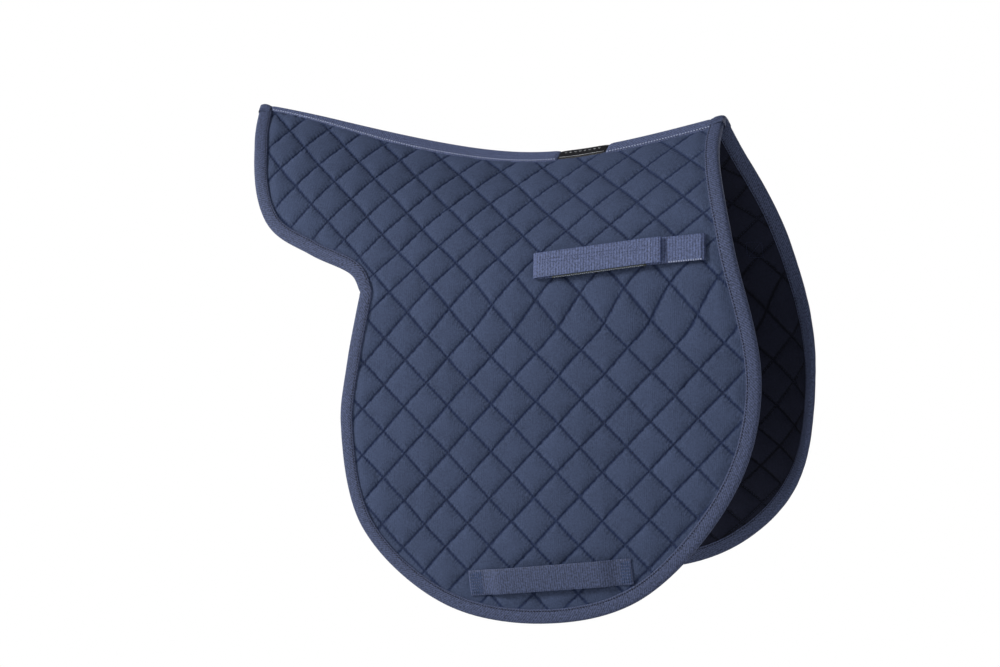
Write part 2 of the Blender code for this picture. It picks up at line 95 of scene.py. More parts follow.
# ---- The left side hangs a little further forward, its front corner turned in ----
LEFT_FORWARD = 33 * MM
LEFT_LIFT = 30 * MM
LEFT_OUT = 8 * MM
LEFT_CURL = 6.0
LEFT_CURL_START = 231 * MM
LEFT_CURL_SLANT = 0.19
LEFT_CURL_LEVEL = -224 * MM
LEFT_FALL_TOP = -24 * MM
LEFT_FALL = 450 * MM
LEFT_LIFT_TOP = -274 * MM
LEFT_LIFT_FALL = 250 * MM

# ---- The cut of one side, flat, as smooth runs of (x, height) ----
REAR_RUN = [(-0.380, 0.121), (-0.355, 0.042), (-0.305, -0.074), (-0.245, -0.109),
            (-0.188, -0.134), (-0.176, -0.154)]
FRONT_RUN = [(-0.176, -0.154), (-0.194, -0.240), (-0.202, -0.310), (-0.175, -0.427),
             (-0.0735, -0.509), (0.051, -0.525), (0.171, -0.489), (0.278, -0.3645),
             (0.305, -0.251), (0.271, -0.097), (0.236, 0.024), (0.227, 0.088)]
RUN_STEPS = 16

# ---- Quilting: two families of lines, as cells per metre along x and height ----
FALLING_LINES = (16.98, 18.21)
RISING_LINES = (-19.56, 18.67)
FALLING_START = 0.248
RISING_START = 0.035
CELL_KNOTS = (0.0, 0.025, 0.065, 0.13, 0.23, 0.36, 0.5, 0.64, 0.77, 0.87, 0.935, 0.975, 1.0)
STITCHES_PER_CELL = 10
# SEAM_SPREAD and SEAM_CORE set how far the painted shade of the quilting grooves reaches.
SEAM_SPREAD = 0.068
SEAM_CORE = 1.5
PUCKER_REACH = 0.24
PUCKER_TURN = 52.0
PUCKER_WANDER = 9.0
WAVER = 0.55 * MM
DRIFT_ROUNDS = 14

# ---- Inflating the cells: a block of cells is simulated much larger than life ----
BLOCK = 6
BLOCK_CELL = 0.77
BLOCK_FRAMES = 22
BLOCK_SEED = 11
CELL_SEED = 23

# ---- Straps, as the ends of their centre lines on the right side ----
WEBBING = 1.3 * MM
SEWN_SPREAD = 1.1 * MM
SEWN_CORNER = 4
WEBBING_WIDTH = 29 * MM
STRAP_REAR = (0.0415, -0.122)
STRAP_FRONT = (0.244, -0.1035)
STRAP_CLEAR = 0.6 * MM
TAB_LEVEL = 6.6 * MM
LOOP_LEVEL = 3.0 * MM
STRAP_DROOP = 4.5 * MM
DROOP_RUN = 130 * MM
TAB_LENGTH = 150 * MM
LOOP_LENGTH = 113 * MM
KEEPER_REAR = (-0.035, -0.486)
KEEPER_FRONT = (0.162, -0.4597)
KEEPER_CLEAR = 0.3 * MM
KEEPER_RISE = 6.3 * MM
KEEPER_REAR_SEWN = 17 * MM
KEEPER_FRONT_SEWN = 14 * MM
KEEPER_RAMP = 24 * MM

# ---- The tape on the spine, and where the label lies on it ----
TAPE_REAR = -0.35
TAPE_WIDENS = 0.2
TAPE_REAR_SHARE = 0.4
LABEL_REAR = 28 * MM
LABEL_FRONT = 90 * MM


# ------------------------------------------------------------------ settings

def length(name, description, default):
    return FloatProperty(name=name, description=description, default=default,
                         min=0.0, unit="LENGTH", precision=5)


def colour(name, description, default):
    return FloatVectorProperty(name=name, description=description, default=default,
                               size=3, min=0.0, max=1.0, subtype="COLOR")


def power(name, description, default):
    return FloatProperty(name=name, description=description, default=default, min=0.0,
                         unit="POWER")


class QuiltSettings(PropertyGroup):
    seam_level: length("Seam level", "Height of the cover's seams above mid-thickness", 1.1 * MM)
    puff: length("Puff", "How far each cell stands above its seams", 3.7 * MM)
    cloth: length("Cloth", "Thickness of the cotton", 0.8 * MM)
    stitch: length("Stitch", "Length of a quilting stitch", 2.5 * MM)
    thread: length("Thread", "Width of the quilting thread", 0.8 * MM)
    cover_colour: colour("Cover", "Colour of the cover", (0.0375, 0.0510, 0.0950))
    # Painted shade: the lining's navy is darkened far below the cover's for the shade inside the
    # pad.
    lining_colour: colour("Lining", "Colour of the lining", (0.0085, 0.0100, 0.0210))
    # Painted shade: the colour that the cover takes deep in its quilting grooves.
    seam_shade_colour: colour("Seams", "Colour deep in the cover's seams", (0.0125, 0.0210, 0.0560))
    # Painted shade: the colour that the lining takes deep in its quilting grooves.
    lining_seam_shade_colour: colour("Dark", "Colour deep in the lining's seams", (0.0020, 0.0025, 0.0060))
    thread_colour: colour("Thread", "Colour of the quilting thread", (0.0090, 0.0140, 0.0400))


class BindingSettings(PropertyGroup):
    width: length("Width", "Width of the folded edge tape", 15 * MM)
    proud: length("Proud", "How far the tape stands from mid-thickness", 4.2 * MM)
    pitch: length("Stitch pitch", "Distance between stitches", 3.7 * MM)
    tape_colour: colour("Tape", "Colour of the edge tape", (0.0450, 0.0580, 0.1130))
    thread_colour: colour("Thread", "Colour of the tape's thread", (0.0040, 0.0060, 0.0200))


class SpineSettings(PropertyGroup):
    reach: length("Reach", "How far the tape reaches down each side", 19 * MM)
    # Painted light: the spine tape is paler than the edge tape for the light it catches from above.
    tape_colour: colour("Tape", "Colour of the spine tape", (0.0620, 0.0780, 0.1500))
    label_reach: length("Label reach", "How far the label reaches down each side", 17 * MM)
    label_bulge: length("Label bulge", "How far the label bulges along its middle", 1.4 * MM)
    thread_colour: colour("Thread", "Colour of the spine tape's thread", (0.300, 0.340, 0.480))
    label_colour: colour("Label", "Colour of the woven label", (0.008, 0.008, 0.010))
    silver_colour: colour("Silver", "Colour of the label's threads", (0.55, 0.56, 0.58))


class StrapSettings(PropertyGroup):
    width: length("Width", "Width of the webbing", WEBBING_WIDTH)
    thickness: length("Thickness", "Thickness of the webbing", WEBBING)
    # Partly painted light: the strap's webbing is paler than the keepers' for the light that the
    # strap catches.
    webbing_colour: colour("Webbing", "Colour of the webbing", (0.0590, 0.0780, 0.1600))
    keeper_colour: colour("Keeper", "Colour of the girth keepers", (0.0370, 0.0500, 0.1020))
    hook_colour: colour("Hooks", "Colour of the hook-and-loop tape", (0.050, 0.056, 0.050))
    tack_colour: colour("Tacks", "Colour of the thread at the keepers' ends", (0.018, 0.040, 0.105))
    pale_colour: colour("Pale", "Colour of the selvedges' thread", (0.240, 0.270, 0.380))
    thread_colour: colour("Thread", "Colour of the straps' thread", (0.012, 0.018, 0.055))


class StageSettings(PropertyGroup):
    floor_drop: length("Floor drop", "How far the floor lies below the pad", 0.16)
    key: power("Key light", "Power of the key light", 106.0)
    fill: power("Fill light", "Power of the fill light", 30.0)
    back: power("Back light", "Power of the light from behind", 45.0)
    ambient: FloatProperty(name="Ambient", description="Strength of the light all round",
                           default=0.10, min=0.0)


# ------------------------------------------------------------------ the drape

def spine_height(x):
    """Height of the pad's middle surface on the spine."""
    x = np.asarray(x, float)
    rise = SPINE_SLOPE * (np.sqrt(x * x + SPINE_ROUND ** 2) - SPINE_ROUND)
    droop = CANTLE_DROOP * np.maximum(0.0, CANTLE_START - x) ** 2
    return SPINE_LOW + rise - droop


def shoulder_out(drop):
    """How far a side stands from the spine plane at a drop below the spine."""
    return HALF_WIDTH * (1 - np.maximum(0.0, 1 - drop / SHOULDER_DROP) ** SHOULDER_POWER)


DROPS = np.linspace(0.0, SHOULDER_DROP, PROFILE_STEPS + 1)
ALONG = np.concatenate([[0.0], np.cumsum(np.hypot(np.diff(shoulder_out(DROPS)),
                                                  np.diff(DROPS)))])
SHOULDER_EXTRA = ALONG[-1] - SHOULDER_DROP


def drop_at(along):
    """Drop below the spine after a distance along the cloth."""
    return np.where(along >= ALONG[-1], along - SHOULDER_EXTRA, np.interp(along, ALONG, DROPS))


def shoulder_length(drop):
    """Distance along the cloth for a drop below the spine."""
    return np.where(drop >= SHOULDER_DROP, drop + SHOULDER_EXTRA, np.interp(drop, DROPS, ALONG))


def seam_height(x):
    """Flat height of the spine seam."""
    return spine_height(x) + SHOULDER_EXTRA


def flat_height(x, z):
    """Flat height of the place where a side hangs at x and z."""
    return seam_height(x) - shoulder_length(spine_height(x) - z)


def smooth(t):
    t = np.clip(t, 0.0, 1.0)
    return t * t * (3 - 2 * t)


def hang_left(point):
    """Move points of the mirrored side to where the left side really hangs."""
    x, y, z = np.moveaxis(point, -1, 0)
    past = np.maximum(0.0, x - LEFT_CURL_START + LEFT_CURL_SLANT * (LEFT_CURL_LEVEL - z))
    inward = LEFT_CURL * past ** 2
    shorter = 2 / 3 * LEFT_CURL ** 2 * past ** 3
    slant = hypot(1, LEFT_CURL_SLANT)
    low = smooth((LEFT_FALL_TOP - z) / LEFT_FALL)
    lift = LEFT_LIFT * smooth((LEFT_LIFT_TOP - z) / LEFT_LIFT_FALL)
    return np.stack([x - shorter / slant + LEFT_FORWARD * low,
                     y - inward + LEFT_OUT * low,
                     z + shorter * LEFT_CURL_SLANT / slant + lift], -1)


def middle_point(x, height, left):
    """Flat points laid over the back, on the pad's middle surface."""
    x, height = np.broadcast_arrays(np.asarray(x, float), np.asarray(height, float))
    drop = drop_at(np.maximum(0.0, seam_height(x) - height))
    out = shoulder_out(drop)
    point = np.stack([x, out if left else -out, spine_height(x) - drop], -1)
    return hang_left(point) if left else point


def unit(v):
    return v / np.maximum(np.linalg.norm(v, axis=-1, keepdims=True), 1e-12)


def outward(x, height, left):
    """Unit vectors out of the pad, away from the horse."""
    step = 0.5 * MM
    height = np.minimum(height, seam_height(x) - step)
    ahead = middle_point(x + step, height, left) - middle_point(x - step, height, left)
    above = middle_point(x, height + step, left) - middle_point(x, height - step, left)
    normal = unit(np.cross(ahead, above))
    return -normal if left else normal


def drape(x, height, offset, left):
    offset = np.asarray(offset, float)[..., None]
    return middle_point(x, height, left) + outward(x, height, left) * offset


def over_spine(x, reach, offset):
    """Points across the spine: reach is the distance down the cloth, + to the left."""
    x, reach, offset = np.broadcast_arrays(x, reach, offset)
    point = drape(x, seam_height(x) - np.abs(reach), offset, False)
    lean = outward(x, seam_height(x), False)[..., 2]
    ridge = (np.abs(reach) < 0.1 * MM) | (point[..., 1] > 0)
    point[..., 1] = np.where(ridge, 0.0, point[..., 1])
    point[..., 2] = np.where(ridge, spine_height(x) + offset / lean, point[..., 2])
    point[..., 1] *= np.where(reach > 0, -1, 1)
    return point


def round_over(points, times):
    """Round a ridge by averaging every row with its neighbours, the first and last held."""
    for _ in range(times):
        points[1:-1] = points[:-2] / 4 + points[1:-1] / 2 + points[2:] / 4
    return points


# --------------------------------------------------------------- the flat cut

def smooth_run(points):
    """A smooth curve through flat points."""
    pts = [np.array(p) for p in points]
    pts = [2 * pts[0] - pts[1]] + pts + [2 * pts[-1] - pts[-2]]
    line = []
    for i in range(1, len(pts) - 2):
        before, start, end, after = pts[i - 1:i + 3]
        gaps = [np.linalg.norm(b - a) ** 0.5
                for a, b in ((before, start), (start, end), (end, after))]
        leave = (start - before) / gaps[0] - (end - before) / (gaps[0] + gaps[1])
        leave = (leave + (end - start) / gaps[1]) * gaps[1]
        arrive = (end - start) / gaps[1] - (after - start) / (gaps[1] + gaps[2])
        arrive = (arrive + (after - end) / gaps[2]) * gaps[1]
        for k in range(RUN_STEPS):
            t = k / RUN_STEPS
            line.append((2 * t ** 3 - 3 * t ** 2 + 1) * start + (t ** 3 - 2 * t ** 2 + t) * leave
                        + (3 * t ** 2 - 2 * t ** 3) * end + (t ** 3 - t ** 2) * arrive)
    line.append(pts[-2])
    return np.array(line)


def walked(line):
    """Distance walked along a line at each of its points."""
    return np.concatenate([[0.0], np.cumsum(np.linalg.norm(np.diff(line, axis=0), axis=1))])


def sample(where, total, values):
    """Rows of values at distances walked along a line."""
    return np.stack([np.interp(where, total, values[:, k]) for k in range(values.shape[1])], -1)


def evenly(line, step):
    """The line sampled at even steps."""
    total = walked(line)
    count = max(2, int(round(total[-1] / step)) + 1)
    return sample(np.linspace(0, total[-1], count), total, line)


REAR_EDGE = evenly(smooth_run(REAR_RUN), 2.5 * MM)
FRONT_EDGE = evenly(smooth_run(FRONT_RUN), 2.5 * MM)
OUTLINE = np.concatenate([REAR_EDGE, FRONT_EDGE[1:]])


def narrowing(x):
    """The tape on the spine narrows towards the rear, 1 at full width."""
    return TAPE_REAR_SHARE + (1 - TAPE_REAR_SHARE) * smooth((x - TAPE_REAR) / TAPE_WIDENS)


def edge_distance(p):
    """Distance from flat points to the side's cut edge, negative outside it."""
    shape = p.shape[:-1]
    p = p.reshape(-1, 2)
    nearest = np.full(len(p), 9.0)
    inside = np.zeros(len(p), bool)
    top = 1.0
    loop = np.concatenate([OUTLINE, [[OUTLINE[-1, 0], top], [OUTLINE[0, 0], top], OUTLINE[0]]])
    for k in range(len(loop) - 1):
        a, b = loop[k], loop[k + 1]
        if k < len(OUTLINE) - 1:
            part = np.clip((p - a) @ (b - a) / ((b - a) @ (b - a)), 0, 1)
            gap = p - a - part[:, None] * (b - a)
            nearest = np.minimum(nearest, np.hypot(gap[:, 0], gap[:, 1]))
        crosses = (a[1] > p[:, 1]) != (b[1] > p[:, 1])
        rise = b[1] - a[1] if b[1] != a[1] else 1.0
        at = a[0] + (p[:, 1] - a[1]) / rise * (b[0] - a[0])
        inside ^= crosses & (p[:, 0] < at)
    return np.where(inside, nearest, -nearest).reshape(shape)


# ------------------------------------------------------------------ materials

# How strongly the painted shade of the quilting grooves darkens the cloth.
GROOVE_SHADE = 0.9
CROSS_RIBS = 6200.0


class Value:
    """A value in a shader tree, whose sums, products and so on are nodes too."""

    def __init__(self, tree, socket):
        self.tree = tree
        self.socket = socket

    def __add__(self, other):
        return maths(self.tree, "ADD", self, other)

    def __sub__(self, other):
        return maths(self.tree, "SUBTRACT", self, other)

    def __mul__(self, other):
        return maths(self.tree, "MULTIPLY", self, other)

    def __truediv__(self, other):
        return maths(self.tree, "DIVIDE", self, other)


def feed(tree, socket, value):
    """Give an input a number, a colour or another node's value."""
    if isinstance(value, Value):
        tree.links.new(value.socket, socket)
    else:
        socket.default_value = value


def node(tree, kind, **values):
    """A shader node; the names that start with in_ are its inputs."""
    made = tree.nodes.new(kind)
    for key, value in values.items():
        if key.startswith("in_"):
            name = key[3:].replace("_", " ")
            feed(tree, made.inputs[int(name) if name.isdigit() else name], value)
        else:
            setattr(made, key, value)
    return made


def value_of(tree, kind, output=0, **values):
    """One output of a new shader node."""
    return Value(tree, node(tree, kind, **values).outputs[output])


def maths(tree, operation, first, second=0.0, clamp=False):
    return value_of(tree, "ShaderNodeMath", operation=operation, in_0=first, in_1=second,
                    use_clamp=clamp)


def sine(value):
    return maths(value.tree, "SINE", value)


def noise(tree, place, scale, detail, roughness=0.5):
    return value_of(tree, "ShaderNodeTexNoise", in_Vector=place, in_Scale=scale,
                    in_Detail=detail, in_Roughness=roughness)


def parts_of(tree, place):
    """The first two parts of a vector."""
    parts = node(tree, "ShaderNodeSeparateXYZ", in_0=place)
    return Value(tree, parts.outputs[0]), Value(tree, parts.outputs[1])


def grouped(tree, name, build, **given):
    """Values from a node group, which build makes the first time that it is used."""
    group = bpy.data.node_groups.get(name)
    if group is None:
        group = bpy.data.node_groups.new(name, "ShaderNodeTree")
        for label in given:
            kind = "NodeSocketVector" if label == "Vector" else "NodeSocketFloat"
            group.interface.new_socket(name=label, in_out="INPUT", socket_type=kind)
        start = group.nodes.new("NodeGroupInput")
        results = build(group, *[Value(group, start.outputs[label]) for label in given])
        for label in results:
            group.interface.new_socket(name=label, in_out="OUTPUT", socket_type="NodeSocketFloat")
        end = group.nodes.new("NodeGroupOutput")
        for label, result in results.items():
            feed(group, end.inputs[label], result)
    used = node(tree, "ShaderNodeGroup", node_tree=group,
                **{"in_" + label: value for label, value in given.items()})
    return [Value(tree, socket) for socket in used.outputs]


def woven(group, place, threads, slub):
    """Fine over-and-under weave and thread slubs, on a vector in metres."""
    scaled = value_of(group, "ShaderNodeVectorMath", operation="SCALE", in_0=place,
                      in_Scale=threads)
    warp, weft = parts_of(group, scaled)
    grain = (noise(group, place, 430.0, 4.0, 0.75) - 0.5) * slub
    cloud = noise(group, place, 38.0, 3.0, 0.6) - 0.5
    return {"Height": sine(warp) * sine(weft) * 0.35 + grain * 2.0,
            "Tone": grain * 1.6 + cloud * 0.45}


def quilting_lines(group, cells, spread):
    """How close a place in cell units lies to a quilting line, 1 on the line."""
    places = parts_of(group, cells)
    near = [maths(group, "ABSOLUTE", at - maths(group, "ROUND", at)) for at in places]
    closest = maths(group, "MINIMUM", *near)
    line = maths(group, "MULTIPLY", maths(group, "SUBTRACT", 1.0, closest / spread), SEAM_CORE,
                 clamp=True)
    wander = noise(group, cells, 5.0, 1.0) * PUCKER_WANDER
    puckers = []
    for off, along in zip(near, places[::-1]):
        beside = maths(group, "SUBTRACT", 1.0, off / PUCKER_REACH, clamp=True)
        puckers.append(sine(along * PUCKER_TURN + wander) * beside)
    whole = value_of(group, "ShaderNodeVectorMath", operation="FLOOR", in_0=cells)
    each = value_of(group, "ShaderNodeTexWhiteNoise", noise_dimensions="2D", in_Vector=whole)
    return {"Line": line, "Middle": closest * 2.0, "Pucker": puckers[0] + puckers[1],
            "Cell": each - 0.5}


def ribbed(group, run, ribs, lean):
    """Fine ribs that lean across a tape, on its own run-and-width coordinates in metres."""
    along, across = parts_of(group, run)
    height = sine((along + across * lean) * ribs) * 0.5 + sine(across * CROSS_RIBS) * 0.25
    speck = noise(group, run, 420.0, 2.0, 0.6) - 0.5
    return {"Height": height, "Tone": height * 0.5 + speck * 2.6}


def shade(rgb, factor):
    return (*[min(1.0, c * factor) for c in rgb], 1.0)


def blend_colour(factor, first, second):
    return value_of(factor.tree, "ShaderNodeMix", 2, data_type="RGBA", in_0=factor, in_6=first,
                    in_7=second)


def tone_between(tone, rgb, dark, light):
    """Colour that runs from dark to light as the tone runs about zero."""
    return blend_colour(maths(tone.tree, "ADD", tone, 0.5, clamp=True), shade(rgb, dark),
                        shade(rgb, light))


def relief(height, strength, distance, **normal):
    return value_of(height.tree, "ShaderNodeBump", in_Height=height, in_Strength=strength,
                    in_Distance=distance, **normal)


def new_material(name, **inputs):
    """A material, with its shader tree and its shader set up."""
    material = bpy.data.materials.new(name)
    material.use_nodes = True
    tree = material.node_tree
    shader = tree.nodes["Principled BSDF"]
    for key, value in inputs.items():
        feed(tree, shader.inputs[key.replace("_", " ")], value)
    return material, tree, shader


def once(make):
    """Make a named material only the first time that a piece asks for it."""
    def found(name, *values):
        return bpy.data.materials.get(name) or make(name, *values)
    return found


@once
def quilted_material(name, rgb, groove_shade_rgb):
    """Cotton with fine grain, with painted shade in the quilting grooves and a painted highlight
    that makes the puffs paler towards their middles.
    """
    material, tree, shader = new_material(
        name, Roughness=0.9, Specular_IOR_Level=0.15, Sheen_Weight=0.12, Sheen_Roughness=0.6,
        Sheen_Tint=shade(rgb, 6.0))
    place = value_of(tree, "ShaderNodeTexCoord", "Object")
    cells = value_of(tree, "ShaderNodeUVMap", uv_map="UVMap")
    height, weave = grouped(tree, "woven cloth", woven, Vector=place, Threads=2600.0, Slub=1.0)
    line, middle, pucker, cell = grouped(tree, "quilting lines", quilting_lines, Vector=cells,
                                         Spread=SEAM_SPREAD)
    base = tone_between(weave + cell * 0.13 + pucker * 0.03, rgb, 0.5, 1.5)
    # Painted highlight: each cell runs paler towards its middle, where its puff stands highest.
    puff_highlit = blend_colour(middle * 0.3, base, shade(rgb, 1.2))
    # Painted shade: along the quilting lines the colour runs to the groove's shade colour.
    feed(tree, shader.inputs["Base Color"],
         blend_colour(line * GROOVE_SHADE, puff_highlit, shade(groove_shade_rgb, 1.0)))
    gathered = relief(pucker, 0.45, 0.0005)
    feed(tree, shader.inputs["Normal"], relief(height, 0.6, 0.0004, in_Normal=gathered))
    return material


@once
def tape_material(name, rgb, ribs, lean, roughness, sheen, sewn=()):
    """Ribbed tape or webbing with a soft sheen, with painted shade in the grooves along the rows
    that are sewn.
    """
    material, tree, shader = new_material(
        name, Roughness=roughness, Specular_IOR_Level=0.3, Sheen_Weight=sheen,
        Sheen_Roughness=0.5, Sheen_Tint=shade(rgb, 6.0))
    run = value_of(tree, "ShaderNodeUVMap", uv_map="UVMap")
    height, tone = grouped(tree, "ribbed tape", ribbed, Vector=run, Ribs=ribs, Lean=lean)
    base = tone_between(tone, rgb, 0.45, 1.55)
    across = parts_of(tree, run)[1]
    # Painted shade: the tape darkens in the groove along each sewn row.
    for place in sewn:
        off = maths(tree, "ABSOLUTE", across - place)
        near = maths(tree, "SUBTRACT", 1.2, off / SEWN_SPREAD, clamp=True)
        base = blend_colour(near * 0.3, base, shade(rgb, 0.25))
    feed(tree, shader.inputs["Base Color"], base)
    feed(tree, shader.inputs["Normal"], relief(height, 0.5, 0.0003))
    return material


@once
def speckled_material(name, rgb, scale, spread, roughness, bump_depth):
    """Thread, hooks and loops: a fine speckle of the same colour."""
    material, tree, shader = new_material(name, Roughness=roughness, Specular_IOR_Level=0.25)
    place = value_of(tree, "ShaderNodeTexCoord", "Object")
    speck = noise(tree, place, scale, 3.0, 0.7)
    feed(tree, shader.inputs["Base Color"],
         tone_between((speck - 0.5) * spread, rgb, 0.4, 1.6))
    feed(tree, shader.inputs["Normal"], relief(speck, 0.6, bump_depth))
    return material


def thread_material(name, rgb, roughness=0.6):
    return speckled_material(name, rgb, 2500.0, 1.5, roughness, 0.0002)


def twill_tape(name, rgb, sewn=()):
    return tape_material(name, rgb, 2000.0, 0.9, 0.78, 0.12, sewn)


def webbing(name, rgb, ribs):
    return tape_material(name, rgb, ribs, 0.0, 0.62, 0.25)


# --------------------------------------------------------------- mesh helpers

def get_places(mesh):
    flat = np.empty(len(mesh.vertices) * 3, np.float32)
    mesh.vertices.foreach_get("co", flat)
    return flat.reshape(-1, 3)


def set_places(mesh, places):
    mesh.vertices.foreach_set("co", places.astype(np.float32).ravel())


def laid_grid(name, points, uv, material, keep=None, merge=False, flip=False):
    """A grid laid onto rows of points, with the faces that keep marks false cut away."""
    rows, columns = points.shape[:2]
    bm = bmesh.new()
    bmesh.ops.create_grid(bm, x_segments=columns - 1, y_segments=rows - 1, size=1.0)
    mesh = bpy.data.meshes.new(name)
    bm.to_mesh(mesh)
    bm.free()
    flat = get_places(mesh)
    column = np.rint((flat[:, 0] + 1) / 2 * (columns - 1)).astype(int)
    row = np.rint((flat[:, 1] + 1) / 2 * (rows - 1)).astype(int)
    set_places(mesh, points[row, column])
    corner = np.empty(len(mesh.loops), np.int32)
    mesh.loops.foreach_get("vertex_index", corner)
    layer = mesh.uv_layers.new(name="UVMap")
    layer.data.foreach_set("uv", uv[row[corner], column[corner]].astype(np.float32).ravel())
    bm = bmesh.new()
    bm.from_mesh(mesh)
    if keep is not None:
        corners = corner.reshape(-1, 4)
        cut = ~keep[row[corners].min(1), column[corners].min(1)]
        bm.faces.ensure_lookup_table()
        bmesh.ops.delete(bm, geom=[bm.faces[i] for i in np.flatnonzero(cut)], context="FACES")
    if merge:
        bmesh.ops.remove_doubles(bm, verts=bm.verts, dist=0.004 * MM)
        bmesh.ops.dissolve_degenerate(bm, edges=bm.edges, dist=0.001 * MM)
        bmesh.ops.recalc_face_normals(bm, faces=bm.faces)
    if flip:
        bmesh.ops.reverse_faces(bm, faces=bm.faces)
    bm.to_mesh(mesh)
    bm.free()
    mesh.shade_smooth()
    mesh.materials.append(material)
    obj = bpy.data.objects.new(name, mesh)
    bpy.context.scene.collection.objects.link(obj)
    return obj


def run_and_width(run, width):
    """UV places from the run at each row and the width at each column, in metres."""
    return np.stack(np.broadcast_arrays(run[:, None], width), -1)


def stitches(name, runs, width, height, material):
    """Short raised stitches, each an arched strip; runs hold their starts, ends and ups."""
    starts, ends, up = [np.concatenate(part) for part in zip(*runs)]
    count = len(starts)
    run = np.array([0.0, 0.22, 0.78, 1.0])[None, :, None, None]
    rise = np.array([0.0, 1.0, 1.0, 0.0])[None, :, None, None]
    across = np.array([-0.5, -0.28, 0.28, 0.5])[None, None, :, None]
    arch = np.array([0.0, 1.0, 1.0, 0.0])[None, None, :, None]
    side = unit(np.cross(ends - starts, up))[:, None, None, :]
    body = starts[:, None, None, :] + (ends - starts)[:, None, None, :] * run
    points = (body + side * across * width * (0.55 + 0.45 * rise)
              + up[:, None, None, :] * height * (rise * arch - 0.35))
    keep = np.ones((count * 4 - 1, 3), bool)
    keep[3::4] = False
    uv = run_and_width(np.arange(count * 4.0), np.arange(4.0))
    return laid_grid(name, points.reshape(count * 4, 4, 3), uv, material, keep=keep)


def stitch_ends(path, pitch, stop, share):
    """Both ends of every stitch along a path, at an even pitch."""
    path = np.array(path, float)
    total = walked(path)
    where = np.arange(pitch / 2, total[-1] - stop, pitch)
    return [sample(where + shift * pitch, total, path) for shift in (-share, share)]


def dress(obj, slot, *cad):
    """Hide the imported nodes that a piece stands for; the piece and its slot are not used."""
    if cad:
        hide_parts(*cad)


def ride_side(obj, side, left, slot, *cad):
    """Bake a piece's place into its mesh and hide the imported nodes that it stands for."""
    out = 1 if left else -1
    side + "_side"
    12 * MM * out
    100 * MM * out
    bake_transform(obj)
    dress(obj, slot, *cad)


def ride_on(obj, body, slot, *cad):
    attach(obj, body)
    dress(obj, slot, *cad)


# --------------------------------------------------------------- quilted sides

LINES = np.array([FALLING_LINES, RISING_LINES])
STARTS = np.array([FALLING_START, RISING_START])
CELL_STEPS = len(CELL_KNOTS) - 1
PRESS_FADE = 6 * MM
PRESS_REACH = 22 * MM
CLOTH = {
    "quality": 6, "mass": 0.3, "air_damping": 3.0, "tension_stiffness": 40.0,
    "compression_stiffness": 40.0, "shear_stiffness": 12.0, "bending_stiffness": 0.25,
    "vertex_group_mass": "sewn", "pin_stiffness": 20.0, "vertex_group_shrink": "spare",
    "shrink_min": -0.05, "shrink_max": -0.02, "use_pressure": True,
    "uniform_pressure_force": 6.0,
}


def waver(s, t):
    """Small wander of the quilting lines, in metres."""
    a = np.sin(0.71 * s + 1.3 * t + 0.4) + 0.6 * np.sin(3.1 * s - 1.7 * t + 2.1)
    b = np.sin(1.13 * t - 0.5 * s + 1.1) + 0.6 * np.sin(3.7 * t + 2.3 * s + 4.0)
    return np.stack([a, b], -1) * WAVER


def drift(p):
    """How far the quilting lines have pulled out of true near the spine, in cells."""
    x = p[..., 0]
    up = p[..., 1] + 0.06
    near_spine = smooth((up + 0.14) / 0.1)
    falling = 0.04 + 1.8 * up + 1.1 * x * up - 2.0 * x ** 2 - 4.5 * up ** 2
    rising = 0.09 - 2.15 * x + 0.8 * up + 9.7 * x * up + 4.2 * x ** 2 - 32.0 * up ** 2
    return near_spine[..., None] * np.stack([falling, rising], -1)


def flat_place(s, t):
    """Flat point of a place given in cells along the two families of lines."""
    cells = np.stack(np.broadcast_arrays(s, t), -1) - STARTS
    back = np.linalg.inv(LINES).T
    p = cells @ back
    for _ in range(DRIFT_ROUNDS):
        p = (cells - drift(np.clip(p, -0.5, 0.4))) @ back
    return p + waver(s, t)


def cell_range():
    """Whole cells that cover the side, as first and last of each family."""
    seam = np.stack([OUTLINE[:, 0], np.minimum(seam_height(OUTLINE[:, 0]), 1)], -1)
    cells = np.concatenate([OUTLINE, seam]) @ LINES.T + STARTS
    low = np.floor(cells.min(0)).astype(int) - 2
    high = np.ceil(cells.max(0)).astype(int) + 2
    return low[0], high[0], low[1], high[1]


def knots_over(first, last):
    """The knots of every cell from first up to last."""
    inner = np.array(CELL_KNOTS[:-1])
    return np.concatenate([k + inner for k in range(first, last)] + [[float(last)]])


def cell_at(j, i):
    """Where the cell in row j and column i lies in a grid of knots."""
    return np.s_[j * CELL_STEPS:(j + 1) * CELL_STEPS + 1,
                 i * CELL_STEPS:(i + 1) * CELL_STEPS + 1]


